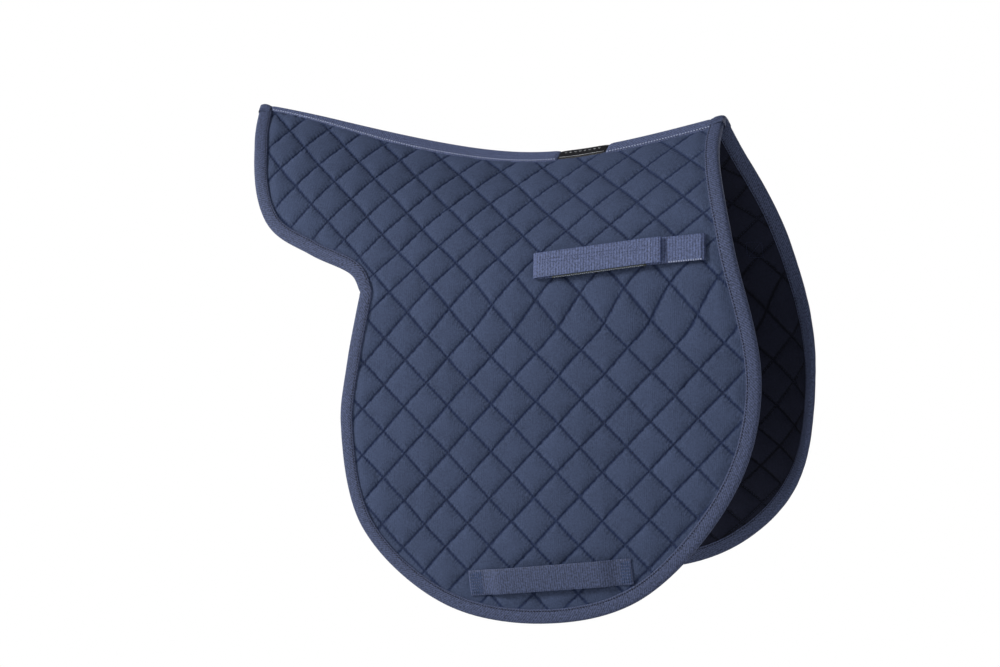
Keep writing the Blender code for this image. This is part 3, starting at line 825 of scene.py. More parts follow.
def inflated_block():
    """Cells of cloth that is sewn down along the quilting lines and blown up between them."""
    rng = np.random.default_rng(BLOCK_SEED)
    line = knots_over(0, BLOCK)
    flat = np.stack([*np.meshgrid(line, line), np.zeros((len(line), len(line)))], -1)
    holder = bpy.data.materials.new("block")
    obj = laid_grid("block", flat * BLOCK_CELL, flat[..., :2], holder)
    mesh = obj.data
    place = get_places(mesh) / BLOCK_CELL
    sewn = obj.vertex_groups.new(name="sewn")
    spare = obj.vertex_groups.new(name="spare")
    fill = rng.uniform(0.0, 1.0, (BLOCK, BLOCK))
    for i, (a, b) in enumerate(place[:, :2]):
        if min(abs(a - round(a)), abs(b - round(b))) < 0.004:
            sewn.add([i], 1.0, "REPLACE")
        cell = fill[min(int(b), BLOCK - 1), min(int(a), BLOCK - 1)]
        spare.add([i], float(np.clip(cell + rng.normal(0, 0.15), 0, 1)), "REPLACE")
    jitter = rng.normal(0, 0.004, len(place)).astype(np.float32)
    start = (place * BLOCK_CELL).astype(np.float32)
    start[:, 2] += np.abs(jitter) + 0.01
    start[:, 2] *= np.minimum(1, 30 * np.abs(place - np.rint(place))[:, :2].min(1))
    set_places(mesh, start)
    cloth = obj.modifiers.new("cloth", "CLOTH")
    for key, value in CLOTH.items():
        setattr(cloth.settings, key, value)
    cloth.settings.effector_weights.gravity = 0.0
    cloth.collision_settings.use_collision = False
    cloth.point_cache.frame_start = 1
    cloth.point_cache.frame_end = BLOCK_FRAMES
    scene = bpy.context.scene
    for step in range(1, BLOCK_FRAMES + 1):
        scene.frame_set(step)
    shaped = obj.evaluated_get(bpy.context.evaluated_depsgraph_get()).to_mesh()
    column = np.searchsorted(line, place[:, 0] - 1e-4)
    row = np.searchsorted(line, place[:, 1] - 1e-4)
    move = np.zeros(flat.shape)
    move[row, column] = get_places(shaped) / BLOCK_CELL - place
    scene.frame_set(1)
    bpy.data.objects.remove(obj)
    bpy.data.meshes.remove(mesh)
    bpy.data.materials.remove(holder)
    cells = [move[cell_at(j, i)].copy() for j in range(BLOCK) for i in range(BLOCK)]
    top = np.mean([np.abs(cell[..., 2]).max() for cell in cells])
    for cell in cells:
        cell[..., 2] = np.abs(cell[..., 2]) / top
        cell[..., :2] = np.clip(cell[..., :2], -0.06, 0.06)
        cell[[0, -1]] = 0.0
        cell[:, [0, -1]] = 0.0
    return cells


def press(p):
    """1 where sewn webbing holds the quilting down, 0 away from it."""
    pressed = np.zeros(p.shape[:-1])
    for rear, front, past in ((STRAP_REAR, STRAP_FRONT, 6 * MM),
                              (KEEPER_REAR, KEEPER_FRONT, 4 * MM)):
        start, end = [np.array([x, float(flat_height(x, z))]) for x, z in (rear, front)]
        run = np.linalg.norm(end - start)
        way = (end - start) / run
        along = (p - start) @ way
        across = np.abs((p - start) @ np.array([-way[1], way[0]]))
        held = (smooth((along + past) / PRESS_FADE) * smooth((run + past - along) / PRESS_FADE)
                * smooth((PRESS_REACH - across) / PRESS_FADE))
        pressed = np.maximum(pressed, held)
    return pressed


def quilted_layer(name, settings, blocks, left, inner, material):
    """One cloth of a side, laid on the lattice of cells and puffed between the seams."""
    s0, s1, t0, t1 = cell_range()
    ss, tt = np.meshgrid(knots_over(s0, s1), knots_over(t0, t1))
    move = np.zeros((*ss.shape, 3))
    rng = np.random.default_rng(CELL_SEED + 2 * int(left) + int(inner))
    for j in range(t1 - t0):
        for i in range(s1 - s0):
            cell = blocks[rng.integers(len(blocks))].copy()
            if rng.random() < 0.5:
                cell = cell[::-1] * (1, -1, 1)
            if rng.random() < 0.5:
                cell = cell[:, ::-1] * (-1, 1, 1)
            cell[..., 2] *= rng.uniform(0.86, 1.12)
            move[cell_at(j, i)] = cell
    p = flat_place(ss + move[..., 0], tt + move[..., 1])
    x, height = p[..., 0], p[..., 1]
    edge = edge_distance(p)
    top = seam_height(x) - height
    fade = smooth((edge - 14 * MM) / (9 * MM))
    fade = fade * smooth((top - 17 * MM * narrowing(x)) / (9 * MM))
    broad = (np.sin(21 * x + 9 * height + (2.0 if left else 0.3))
             + np.sin(33 * height - 14 * x + 1.0)) * 0.3 * MM
    level = settings.seam_level + settings.puff * move[..., 2] ** 0.8 * fade
    level = np.where(fade < 1, np.maximum(level, 2.1 * MM * (1 - fade)), level)
    held = press(p)
    if not inner:
        level = level * (1 - held) + np.minimum(level, 2.5 * MM) * held
    points = drape(x, height, -level if inner else level, left)
    points[..., 1] += broad * fade * (1 - held) * smooth((top - 60 * MM) / (80 * MM))
    fine = (edge > 4.5 * MM) & (top > 0.9 * MM)
    keep = fine[:-1, :-1] & fine[1:, :-1] & fine[:-1, 1:] & fine[1:, 1:]
    return laid_grid(name, points, np.stack([ss, tt], -1), material, keep=keep,
                     flip=left != inner)


def quilting_thread(name, settings, left, inner, material):
    """The stitches along both families of lines, on one face of a side."""
    s0, s1, t0, t1 = cell_range()
    half = settings.stitch * hypot(*RISING_LINES) / 2
    pairs = []
    for falling, first, last, low, high in ((True, s0, s1, t0, t1), (False, t0, t1, s0, s1)):
        whole = np.arange(first, last + 1, dtype=float)
        along = (np.arange((high - low) * STITCHES_PER_CELL) + 0.5) / STITCHES_PER_CELL + low
        line, where = [grid.ravel() for grid in np.meshgrid(whole, along)]
        pairs.append([flat_place(line, at) if falling else flat_place(at, line)
                      for at in (where - half, where + half)])
    starts, ends = [np.concatenate(part) for part in zip(*pairs)]
    middle = (starts + ends) / 2
    down = seam_height(middle[:, 0]) - middle[:, 1]
    fine = (edge_distance(middle) > 15.5 * MM) & (down > 20 * MM * narrowing(middle[:, 0]))
    if not inner:
        fine &= press(middle) < 0.9
    face = -1 if inner else 1
    start, end = [drape(*p[fine].T, face * settings.seam_level, left) for p in (starts, ends)]
    up = outward(*middle[fine].T, left) * face
    return stitches(name, [(start, end, up)], settings.thread, 0.35 * MM, material)


class SADDLEPAD_OT_quilted_sides(Operator):
    """Build the cover and the lining of both sides, puffed between their quilting lines"""
    bl_idname = "saddlepad.quilted_sides"
    bl_label = "Quilted Sides"

    def execute(self, context):
        quilt = context.scene.saddlepad_quilt
        blocks = inflated_block()
        # The seam colours given here are painted shade for the quilting grooves.
        cover = quilted_material("quilted cotton", quilt.cover_colour, quilt.seam_shade_colour)
        # Painted shade: the lining's colour is darkened for the shade inside the pad.
        lining = quilted_material("lining cotton", quilt.lining_colour, quilt.lining_seam_shade_colour)
        thread = thread_material("quilting thread", quilt.thread_colour)
        layers = (("outside", "quilted_cotton", cover, ("_cover", "_wadding")),
                  ("inside", "lining_cotton", lining, ("_lining",)))
        for side, left in SIDES:
            for word, slot, material, cad in layers:
                inner = word == "inside"
                cloth = quilted_layer(side + "_quilted_" + word, quilt, blocks, left, inner,
                                      material)
                wall = cloth.modifiers.new("thickness", "SOLIDIFY")
                wall.thickness = quilt.cloth
                wall.offset = -1.0
                wall.use_even_offset = True
                ride_side(cloth, side, left, slot, *[side + end for end in cad])
                sewing = quilting_thread(side + "_quilting_" + word, quilt, left, inner, thread)
                ride_side(sewing, side, left, "thread")
        return {"FINISHED"}


# -------------------------------------------------------------- edge bindings

EDGE_STITCH = (1.5 * MM, 0.8 * MM)
EDGE_ROW = 2.3 * MM
INNER_ROW = 5.0 * MM
INNER_ROW_FROM = 0.62
OVERLAP = 3
SPINE_TURN = 34 * MM


def inward_of(line, spread):
    """Inward direction at each point of a run (the cloth is on its left), evened out."""
    tangent = unit(np.gradient(line, axis=0))
    kernel = np.hanning(2 * spread + 3)[1:-1]
    kernel /= kernel.sum()
    for k in (0, 1):
        padded = np.pad(tangent[:, k], spread, mode="edge")
        tangent[:, k] = np.convolve(padded, kernel, mode="valid")
    tangent = unit(tangent)
    return np.stack([-tangent[:, 1], tangent[:, 0]], -1)


def binding_section(width, proud):
    """Tape folded round the edge: (distance in from the edge, level), outside to inside."""
    half = [(width - 0.15 * MM, 1.6 * MM), (width, 2.6 * MM), (width - 0.3 * MM, 3.3 * MM),
            (width - 1.2 * MM, proud - 0.45 * MM), (width - 2.3 * MM, proud - 0.75 * MM),
            (width - 3.6 * MM, proud - 0.3 * MM), (0.6 * width, proud), (0.4 * width, proud),
            (0.2 * width, proud - 0.1 * MM), (0.7 * MM, proud - 0.5 * MM),
            (-0.6 * MM, proud - 1.3 * MM), (-1.4 * MM, proud - 2.5 * MM)]
    return np.array(half + [(-1.75 * MM, 0.0)] + [(a, -b) for a, b in reversed(half)])


def sewn_places(settings):
    """Places of the stitched lines across the folded tape, on its outside and inside."""
    total = walked(binding_section(settings.width, settings.proud))
    return total[SEWN_CORNER], total[-1] - total[SEWN_CORNER]


def inward_directions():
    """Inward directions round the side's whole cut edge, from the rear top to the withers."""
    inward = inward_of(OUTLINE, 5)
    # At the spine the tape turns to run along the seam, so that it stays on its side.
    total = walked(OUTLINE)
    for x, sign, away in ((OUTLINE[0, 0], 1, total), (OUTLINE[-1, 0], -1, total[-1] - total)):
        slope = float(seam_height(x + MM) - seam_height(x - MM)) / (2 * MM)
        seam = unit(np.array([sign, sign * slope]))
        share = (1 - smooth(away / SPINE_TURN))[:, None]
        inward = unit(inward * (1 - share) + seam * share)
    return inward


def small_wander(count, seed, reach):
    """Smooth irregularity along a run, about -1 to 1."""
    rng = np.random.default_rng(seed)
    raw = rng.normal(0, 1, count + 2 * reach)
    kernel = np.hanning(2 * reach + 3)[1:-1]
    soft = np.convolve(raw, kernel / np.sqrt((kernel ** 2).sum()), mode="valid")
    return np.clip(soft, -2, 2) / 2


def bound_edge(name, settings, line, inward, left, seed, lift, material):
    """Tape swept along part of the cut edge."""
    section = binding_section(settings.width, settings.proud)
    wander = small_wander(len(line), seed, 3)[:, None]
    broad = small_wander(len(line), seed + 1, 9)[:, None]
    across = section[:, 0] * (1 + 0.018 * broad)
    level = section[:, 1] * (1 + lift[:, None] / settings.proud)
    level = level + np.sign(level) * wander * 0.16 * MM
    p = line[:, None, :] + inward[:, None, :] * across[..., None]
    points = drape(p[..., 0], p[..., 1], level, left)
    uv = run_and_width(walked(line), walked(section))
    return laid_grid(name, points, uv, material, flip=not left)


def edge_stitches(name, settings, line, inward, left, rows, material):
    """Rows of stitches near the tape's inner edge, on the outside and on the inside."""
    total = walked(line)
    where = np.arange(4 * MM, total[-1] - 4 * MM, settings.pitch)
    half = 0.33 * settings.pitch
    runs = []
    for face in (1, -1):
        level = face * (settings.proud - 0.72 * MM)
        for inset, first in rows:
            use = where[where >= first]
            ends = [(sample(at, total, line) + sample(at, total, inward)
                     * (settings.width - inset)).T for at in (use - half, use + half)]
            runs.append((*[drape(*end, level, left) for end in ends],
                         outward(*ends[0], left) * face))
    return stitches(name, runs, *EDGE_STITCH, material)


class SADDLEPAD_OT_edge_bindings(Operator):
    """Fold tape round the cut edge of both sides and sew it down"""
    bl_idname = "saddlepad.edge_bindings"
    bl_label = "Edge Bindings"

    def execute(self, context):
        binding = context.scene.saddlepad_binding
        tape = twill_tape("binding tape", binding.tape_colour, sewn_places(binding))
        thread = thread_material("binding thread", binding.thread_colour)
        inward = inward_directions()
        notch = len(REAR_EDGE) - 1
        parts = (("rear", slice(0, notch + 1), 31), ("front", slice(notch - OVERLAP, None), 41))
        for side, left in SIDES:
            for part, cut, seed in parts:
                away = walked(OUTLINE[cut])
                lift = np.zeros(len(away))
                rows = [(EDGE_ROW, 0.0)]
                if part == "front":
                    lift = 0.9 * MM * (1 - smooth((away - 9 * MM) / (8 * MM)))
                    rows.append((INNER_ROW, INNER_ROW_FROM * away[-1]))
                name = side + "_" + part
                run = bound_edge(name + "_edge_tape", binding, OUTLINE[cut], inward[cut], left,
                                 seed + int(left), lift, tape)
                ride_side(run, side, left, "binding_tape", name + "_binding")
                sewing = edge_stitches(name + "_edge_stitches", binding, OUTLINE[cut],
                                       inward[cut], left, rows, thread)
                ride_side(sewing, side, left, "thread")
        return {"FINISHED"}


# ----------------------------------------------------------------- the spine

SPINE_STITCH = (1.2 * MM, 0.8 * MM)
SPINE_ROW_INSET = 1.4 * MM
SPINE_ROW_LEVEL = 4.0 * MM
SILVER_STITCH = (0.45 * MM, 0.25 * MM)
LOZENGE = 1.6 * MM
WRAP_REACH = 15 * MM
TAPE_GAP = 11 * MM


def both_ways(half):
    """Distances out from the middle, both ways."""
    return np.concatenate([-half[::-1], half[1:]])


def edge_at_spine(end):
    """x of the cut edge at a distance down the cloth from the spine, as a function."""
    first, second = (OUTLINE[0], OUTLINE[2]) if end == 0 else (OUTLINE[-1], OUTLINE[-3])
    fall = float(seam_height(first[0])) - first[1]
    slope = (second[0] - first[0]) / (float(seam_height(second[0])) - second[1] - fall)
    return lambda down: first[0] + slope * (down - fall)


def crowned(low, rise, share):
    """Level of a band across the spine, from its rim up to its middle."""
    return low + rise * np.sqrt(np.clip(1 - share ** 2, 0, 1))


def spine_band(name, ends, reach, levels, material, inside=False, step=2 * MM,
               rounded=9 * MM, fall=2.6 * MM, narrows=True):
    """A band over the spine; levels maps the share of the reach to a height."""
    rear, front = ends
    down = both_ways(np.linspace(0, 1, 22) ** 0.9 * reach)
    rim = np.array([-1.004, *(down / reach), 1.004]) * reach
    count = max(3, int(round((front(0.0) - rear(0.0)) / step)))
    along = np.linspace(0, 1, count + 1)
    first, last = [np.array([end(abs(d)) for d in rim])[:, None] for end in ends]
    x = first + (last - first) * along
    level = levels(np.abs(rim) / reach)[:, None] * np.ones_like(x)
    level[[0, -1]] = 1.4 * MM
    share = np.clip(np.minimum(along, 1 - along) * (last - first) / rounded, 0, 1)
    level = level - fall * (1 - np.sqrt(1 - (1 - share) ** 2))
    down = rim[:, None] * (narrowing(x) if narrows else np.ones_like(x))
    points = round_over(over_spine(x, down, -level if inside else level), 5)
    return laid_grid(name, points, np.stack([x, down], -1), material, flip=not inside)


def centre_wrap(name, settings, end, material):
    """The edge tape where it passes over the spine, folded over on itself."""
    edge = edge_at_spine(end)
    inward = 1 if end == 0 else -1
    down = both_ways(np.linspace(0, 1, 16) * WRAP_REACH)
    section = binding_section(settings.width, settings.proud + 0.7 * MM)
    across, level = section.T
    x = np.array([edge(abs(d)) for d in down])[:, None] + inward * across - inward * 0.9 * MM
    pleat = 0.7 * MM * np.sin(down[:, None] / (3.1 * MM) + across / (4 * MM))
    points = round_over(over_spine(x, down[:, None], level + np.sign(level) * pleat), 3)
    return laid_grid(name, points, run_and_width(down, walked(section)), material,
                     flip=inward < 0)


def up_from_spine(x, down, side):
    """Outward direction at a distance down from the spine, on the side -1 or 1."""
    up = outward(x, seam_height(x) - down, False)
    up[:, 1] *= -1 if side > 0 else 1
    return up


def spine_rows(name, settings, ends, material):
    """Stitches along both edges of the spine's tape."""
    rear, front = ends
    most = settings.reach - SPINE_ROW_INSET
    where = np.arange(rear(most) + 3 * MM, front(most) - 3 * MM, 3.4 * MM)
    down = settings.reach * narrowing(where) - SPINE_ROW_INSET
    runs = []
    for side in (-1, 1):
        runs.append((over_spine(where, side * down, SPINE_ROW_LEVEL),
                     over_spine(where + 2.3 * MM, side * down, SPINE_ROW_LEVEL),
                     up_from_spine(where, down, side)))
    return stitches(name, runs, *SPINE_STITCH, material)


def label_threads(settings, bulged, material):
    """A plain border and a row of small lozenges in silver thread."""
    border = np.arange(LABEL_REAR + 3 * MM, LABEL_FRONT - 4 * MM, 1.6 * MM)
    middle = np.arange(LABEL_REAR + 9 * MM, LABEL_FRONT - 8 * MM, 6 * MM)
    starts = np.concatenate([middle - LOZENGE, middle])
    near = np.repeat([0.0, LOZENGE], len(middle))
    runs = []
    for side in (-1, 1):
        for share, x0, x1, d0, d1 in ((0.82, border, border + 1.3 * MM, 0.0, 0.0),
                                      (0.3, starts, starts + LOZENGE, near, near[::-1])):
            down = share * settings.label_reach
            level = float(bulged(np.array(share))) + 0.05 * MM
            runs.append((over_spine(x0, side * (down + d0), level),
                         over_spine(x1, side * (down + d1), level),
                         up_from_spine(x0, down, side)))
    return stitches("spine_patch_threads", runs, *SILVER_STITCH, material)


class SADDLEPAD_OT_spine(Operator):
    """Tape the spine seam outside and inside, with the label between the outer tapes"""
    bl_idname = "saddlepad.spine"
    bl_label = "Spine"

    def execute(self, context):
        settings = context.scene.saddlepad_spine
        binding = context.scene.saddlepad_binding
        # Painted light: the spine tape's paler colour stands in for the light from above.
        tape = twill_tape("spine tape", settings.tape_colour)
        wrap_tape = twill_tape("wrap tape", binding.tape_colour)
        thread = thread_material("spine thread", settings.thread_colour)
        black = tape_material("label cloth", settings.label_colour, 7000.0, 0.0, 0.45, 0.0)
        silver = speckled_material("silver thread", settings.silver_colour, 1800.0, 1.2, 0.35,
                                   0.0001)
        rear_edge, front_edge = edge_at_spine(0), edge_at_spine(-1)

        def rear_start(down):
            return rear_edge(down) + TAPE_GAP

        def front_end(down):
            return front_edge(down) - TAPE_GAP

        def bulged(share):
            return crowned(2.4 * MM, settings.label_bulge, share)

        lengths = (("rear", (rear_start, lambda down: LABEL_REAR + 1.5 * MM), ()),
                   ("front", (lambda down: LABEL_FRONT - 1.5 * MM, front_end), ("spine_seam",)))
        for word, ends, hidden in lengths:
            band = spine_band(word + "_spine_tape", ends, settings.reach,
                              lambda share: crowned(2.9 * MM, 1.6 * MM, share), tape)
            ride_on(band, "spine", "binding_tape", "spine_tape_" + word, *hidden)
            rows = spine_rows(word + "_spine_stitches", settings, ends, thread)
            ride_on(rows, "spine", "thread")
        under = spine_band("under_spine_tape", (rear_start, front_end), 10 * MM,
                           lambda share: 3.3 * MM + 0.4 * MM * (1 - share ** 2), tape,
                           inside=True, step=4 * MM, rounded=0.8 * MM, fall=0.5 * MM,
                           narrows=False)
        ride_on(under, "spine", "binding_tape", "gullet_tape")
        label = spine_band("spine_patch", (lambda down: LABEL_REAR, lambda down: LABEL_FRONT),
                           settings.label_reach, bulged, black, rounded=14 * MM, fall=1.4 * MM,
                           narrows=False)
        ride_on(label, "spine", "label", "spine_label")
        ride_on(label_threads(settings, bulged, silver), "spine", "label")
        for word, end in (("rear", 0), ("front", -1)):
            wrap = centre_wrap(word + "_centre_wrap", binding, end, wrap_tape)
            ride_on(wrap, "spine", "binding_tape", word + "_centre_binding")
        return {"FINISHED"}


# ------------------------------------------------------------------- straps

HEM = 13 * MM
HEM_RISE = 1.5 * MM
TAB_WAVE = 0.22 * MM
TAB_WAVE_RUN = 19 * MM
FUZZ = 0.9 * MM
HOOK_DROP = 3.0 * MM
BOX = 9.5 * MM
BOX_PATH = ((-BOX, -BOX), (BOX, -BOX), (BOX, BOX), (-BOX, BOX), (-BOX, -BOX), (BOX, BOX))


class StrapPlace:
    """Frame of a strap: along it, out of the pad and up across it."""

    def __init__(self, rear, front, offset, left, droop=0.0):
        self.droop = droop
        flat = [(x, flat_height(x, z)) for x, z in (rear, front)]
        start, end = [drape(*p, offset, False) for p in flat]
        normal = unit(outward(*flat[0], False) + outward(*flat[1], False))
        self.length = float(np.linalg.norm(end - start))
        self.origin = start
        self.along = unit(end - start)
        self.out = unit(normal - self.along * (normal @ self.along))
        self.up = np.cross(self.along, -self.out)
        if left:
            for name in ("origin", "along", "out", "up"):
                setattr(self, name, getattr(self, name) * np.array([1, -1, 1]))
            middle = self.origin + self.along * self.length / 2
            self.origin = self.origin + hang_left(middle) - middle

    def at(self, along, level, across):
        along, level, across = np.broadcast_arrays(along, level, across)
        across = across - self.droop * np.clip(1 - along / DROOP_RUN, 0, 1)
        return (self.origin + along[..., None] * self.along + level[..., None] * self.out
                + across[..., None] * self.up)


def ribbon(name, place, line, width, thickness, material, thick=1.0, crown=0.0):
    """A strip of webbing with rounded selvedges that follows a line of (along, level)."""
    line = np.array(line, float)
    tangent = unit(np.gradient(line, axis=0))
    half, edge = width / 2, thickness / 2
    flat = [(s * (half - edge), 1.0) for s in np.linspace(-1, 1, 9)]
    turn = [(half - edge + edge * sin(a), cos(a)) for a in (pi / 4, pi / 2, 3 * pi / 4)]
    section = flat + turn + [(-a, -b) for a, b in flat] + [(-a, -b) for a, b in turn]
    across, side = np.array(section + section[:1]).T
    up = side * edge * np.broadcast_to(thick, len(line))[:, None]
    up = up + crown * (1 - (across / half) ** 2)
    points = place.at(line[:, :1] - tangent[:, 1:] * up, line[:, 1:] + tangent[:, :1] * up,
                      across)
    middle = place.at(line[:, :1], line[:, 1:], across * 0.985)
    points = np.concatenate([middle[:1], points, middle[-1:]])
    uv = run_and_width(np.pad(walked(line), 1, mode="edge"), across)
    return laid_grid(name, points, uv, material, merge=True)


def sewn_lines(name, place, paths, level, pitch, width, material):
    """Stitches along paths of (along, across) on a strap's outer face."""
    runs = []
    for path in paths:
        ends = []
        for along, across in [at.T for at in stitch_ends(path, pitch, pitch / 3, 0.34)]:
            ends.append(place.at(along, level(along) if callable(level) else level, across))
        runs.append((*ends, np.broadcast_to(place.out, ends[0].shape)))
    return stitches(name, runs, width, 0.32 * MM, material)


def lining_patch(name, x, height, left, material):
    """Box stitching that comes through on the lining."""
    flats = [(x + at[:, 0], height + at[:, 1]) for at in stitch_ends(BOX_PATH, 3 * MM, 0.0, 0.36)]
    start, end = [drape(*flat, -3.95 * MM, left) for flat in flats]
    return stitches(name, [(start, end, -outward(*flats[1], left))], 0.55 * MM, 0.5 * MM,
                    material)


def zigzag(first, last, half, turns, across=0.0):
    """Path of a zig-zag from first to last along the strap."""
    return [(first + (last - first) * k / turns, across + (half if k % 2 else -half))
            for k in range(turns + 1)]


def arc(centre, level, radius, first, last, steps=14):
    """Points (along, level) of a fold, angles in degrees from +along towards outside."""
    angles = [radians(first + (last - first) * k / steps) for k in range(steps + 1)]
    return [(centre + radius * cos(angle), level + radius * sin(angle)) for angle in angles]


def straight(first, last, level, step=4 * MM):
    count = max(2, int(round(abs(last - first) / step)))
    return [(first + (last - first) * k / count, level) for k in range(count + 1)]


def strap_base(straps, side, place, web, tab, loop):
    """The sewn base with its two folds; returns where the tab and the loop start."""
    base = straps.thickness / 2
    tab_fold = (tab - base) / 2
    loop_fold = (loop - base) / 2
    tab_root = tab_fold + base
    loop_root = place.length - loop_fold - base
    line = (arc(tab_root, base + tab_fold, tab_fold, 90, 270)
            + straight(tab_root, loop_root, base)[1:-1]
            + arc(loop_root, base + loop_fold, loop_fold, -90, 90))
    piece = ribbon(side + "_strap_backing", place, line, straps.width, straps.thickness, web)
    ride_on(piece, side + "_side", "webbing", side + "_strap_base")
    return tab_root, loop_root - 0.1 * MM


def strap_tab(straps, side, place, web, thread, hooks, pale, root, tab):
    """The leaf on top, hemmed at its end, with the hook tape below it."""
    body = side + "_tab"
    end = root + 0.1 * MM + TAB_LENGTH

    def hem(along):
        return smooth((along - (end - HEM)) / HEM_RISE)

    def wave(along):
        return TAB_WAVE * np.sin(along / TAB_WAVE_RUN)

    leaf = np.array(straight(root + 0.1 * MM, end, tab, 1.5 * MM))
    leaf[:, 1] += wave(leaf[:, 0])
    piece = ribbon(side + "_strap_flap", place, leaf, straps.width, straps.thickness, web,
                   thick=1 + 0.75 * hem(leaf[:, 0]), crown=0.25 * MM)
    ride_on(piece, body, "webbing", side + "_strap_tab")

    def top(along):
        return (tab + straps.thickness / 2 + wave(along) + 0.1 * MM
                + 0.375 * straps.thickness * hem(along))

    rim = straps.width / 2 - 2.6 * MM
    rows = [[(root + 4 * MM, share * straps.width), (end - HEM, share * straps.width)]
            for share in (0.2, 0.06)]
    rows += [[(along, -rim), (along, rim)] for along in (end - 3 * MM, end - HEM + 1.5 * MM)]
    sewing = sewn_lines(side + "_flap_stitches", place, rows, top, 3.0 * MM, 1.1 * MM, thread)
    ride_on(sewing, body, "thread")
    level = TAB_LEVEL - 0.6 * MM
    hook = ribbon(side + "_hook_band", place, straight(24 * MM, 136 * MM, level, 3 * MM),
                  27 * MM, FUZZ, hooks)
    set_places(hook.data, get_places(hook.data) - place.up * HOOK_DROP)
    ride_on(hook, body, "hook_and_loop", side + "_hook_tape")
    dashes = sewn_lines(side + "_hook_dashes", place,
                        [zigzag(26 * MM, 134 * MM, 0.5 * MM, 36, -15.9 * MM)],
                        level + FUZZ / 2, 2.4 * MM, 0.6 * MM, pale)
    ride_on(dashes, body, "thread")


def strap_loop(straps, side, place, web, hooks, pale, start, loop):
    """The leaf below, with its frayed selvedge and the loop tape on it."""
    body = side + "_loop"
    leaf = straight(start - LOOP_LENGTH, start, loop, 3 * MM)
    piece = ribbon(side + "_strap_under_flap", place, leaf, straps.width, straps.thickness, web)
    ride_on(piece, body, "webbing", side + "_strap_loop")
    rim = straps.width / 2 - 0.4 * MM
    fringe = sewn_lines(side + "_loop_fringe", place, [[(start - 40 * MM, -rim), (start, -rim)]],
                        loop + straps.thickness / 2, 2.8 * MM, 2.0 * MM, pale)
    ride_on(fringe, body, "thread")
    level = LOOP_LEVEL + straps.thickness + FUZZ / 2
    line = straight(start - 109 * MM, start - 58 * MM, level, 3 * MM)
    band = ribbon(side + "_loop_band", place, line, 26 * MM, FUZZ, hooks)
    ride_on(band, body, "hook_and_loop", side + "_loop_tape")


class SADDLEPAD_OT_upper_straps(Operator):
    """Build the hook-and-loop strap near the top of each side"""
    bl_idname = "saddlepad.upper_straps"
    bl_label = "Upper Straps"

    def execute(self, context):
        straps = context.scene.saddlepad_straps
        # Partly painted light: this webbing colour is raised for the light that the strap catches.
        web = webbing("strap webbing", straps.webbing_colour, 1900.0)
        thread = thread_material("strap thread", straps.thread_colour, 0.5)
        hooks = speckled_material("hook and loop", straps.hook_colour, 1600.0, 2.4, 0.95, 0.0006)
        pale = thread_material("pale thread", straps.pale_colour)
        tab = TAB_LEVEL + straps.thickness / 2
        loop = LOOP_LEVEL + straps.thickness / 2
        x, z = STRAP_FRONT
        for side, left in SIDES:
            place = StrapPlace(STRAP_REAR, STRAP_FRONT, PAD_HALF + STRAP_CLEAR, left, STRAP_DROOP)
            root, start = strap_base(straps, side, place, web, tab, loop)
            strap_tab(straps, side, place, web, thread, hooks, pale, root, tab)
            strap_loop(straps, side, place, web, hooks, pale, start, loop)
            patch = lining_patch(side + "_strap_back_stitches", x - 15 * MM, flat_height(x, z),
                                 left, thread)
            ride_on(patch, side + "_side", "thread", side + "_strap_stitching")
        return {"FINISHED"}


class SADDLEPAD_OT_girth_keepers(Operator):
    """Build the webbing girth keeper low on each side, sewn down at both ends"""
    bl_idname = "saddlepad.girth_keepers"
    bl_label = "Girth Keepers"

    def execute(self, context):
        straps = context.scene.saddlepad_straps
        thread = thread_material("tack thread", straps.tack_colour, 0.5)
        web = webbing("keeper webbing", straps.keeper_colour, 2300.0)
        half = straps.width / 2 - 1.8 * MM
        top = straps.thickness + 0.3 * MM
        for side, left in SIDES:
            place = StrapPlace(KEEPER_REAR, KEEPER_FRONT, PAD_HALF + KEEPER_CLEAR, left)
            end = place.length
            along = np.linspace(0, end, 96)
            rise = (smooth((along - KEEPER_REAR_SEWN) / KEEPER_RAMP)
                    * smooth((end - KEEPER_FRONT_SEWN - along) / KEEPER_RAMP))
            bow = 0.86 + 0.14 * np.sin(pi * along / end)
            line = np.stack([along, straps.thickness / 2 + KEEPER_RISE * rise * bow], -1)
            piece = ribbon(side + "_girth_loop", place, line, straps.width, straps.thickness,
                           web, crown=0.35 * MM)
            ride_on(piece, side + "_side", "webbing", side + "_girth_keeper")
            for word, first, last in (("rear", 1.5 * MM, KEEPER_REAR_SEWN - MM),
                                      ("front", end - KEEPER_FRONT_SEWN + MM, end - 1.5 * MM)):
                turns = int(round((last - first) / (1.25 * MM)))
                name = side + "_keeper_" + word
                sewing = sewn_lines(name + "_stitches", place, [zigzag(first, last, half, turns)],
                                    top, 3.4 * MM, 1.1 * MM, thread)
                ride_on(sewing, side + "_side", "thread", name + "_stitching")
        return {"FINISHED"}


# ---------------------------------------------------------------- the stage

WHITE = (1.0, 1.0, 1.0, 1.0)
PAD_MIDDLE = (-0.05, 0.0, -0.2)
FLOOR_SPAN = 14.0
CAMERA_TARGET = (-0.051, 0.0, -0.2044)
CAMERA_TURN = 23.98
CAMERA_LIFT = 1.98
CAMERA_DISTANCE = 2.3236
CAMERA_LENS = 69.84


def area_light(name, place, size, power):
    light = bpy.data.lights.new(name, "AREA")
    light.shape = "DISK"
    light.size = size
    light.energy = power
    way = Vector(PAD_MIDDLE) - Vector(place)
    aimed_object(name, light, place, way.to_track_quat("-Z", "Y"))


def aimed_object(name, data, place, turn):
    obj = bpy.data.objects.new(name, data)
    obj.matrix_world = Matrix.Translation(place) @ turn.to_matrix().to_4x4()
    bpy.context.scene.collection.objects.link(obj)
    return obj


def show_camera(tree, lighting, seen, output):
    """Light with one shader and let the camera see the other."""
    rays = value_of(tree, "ShaderNodeLightPath", "Is Camera Ray")
    mixed = value_of(tree, "ShaderNodeMixShader", in_0=rays, in_1=lighting, in_2=seen)
    feed(tree, output.inputs["Surface"], mixed)


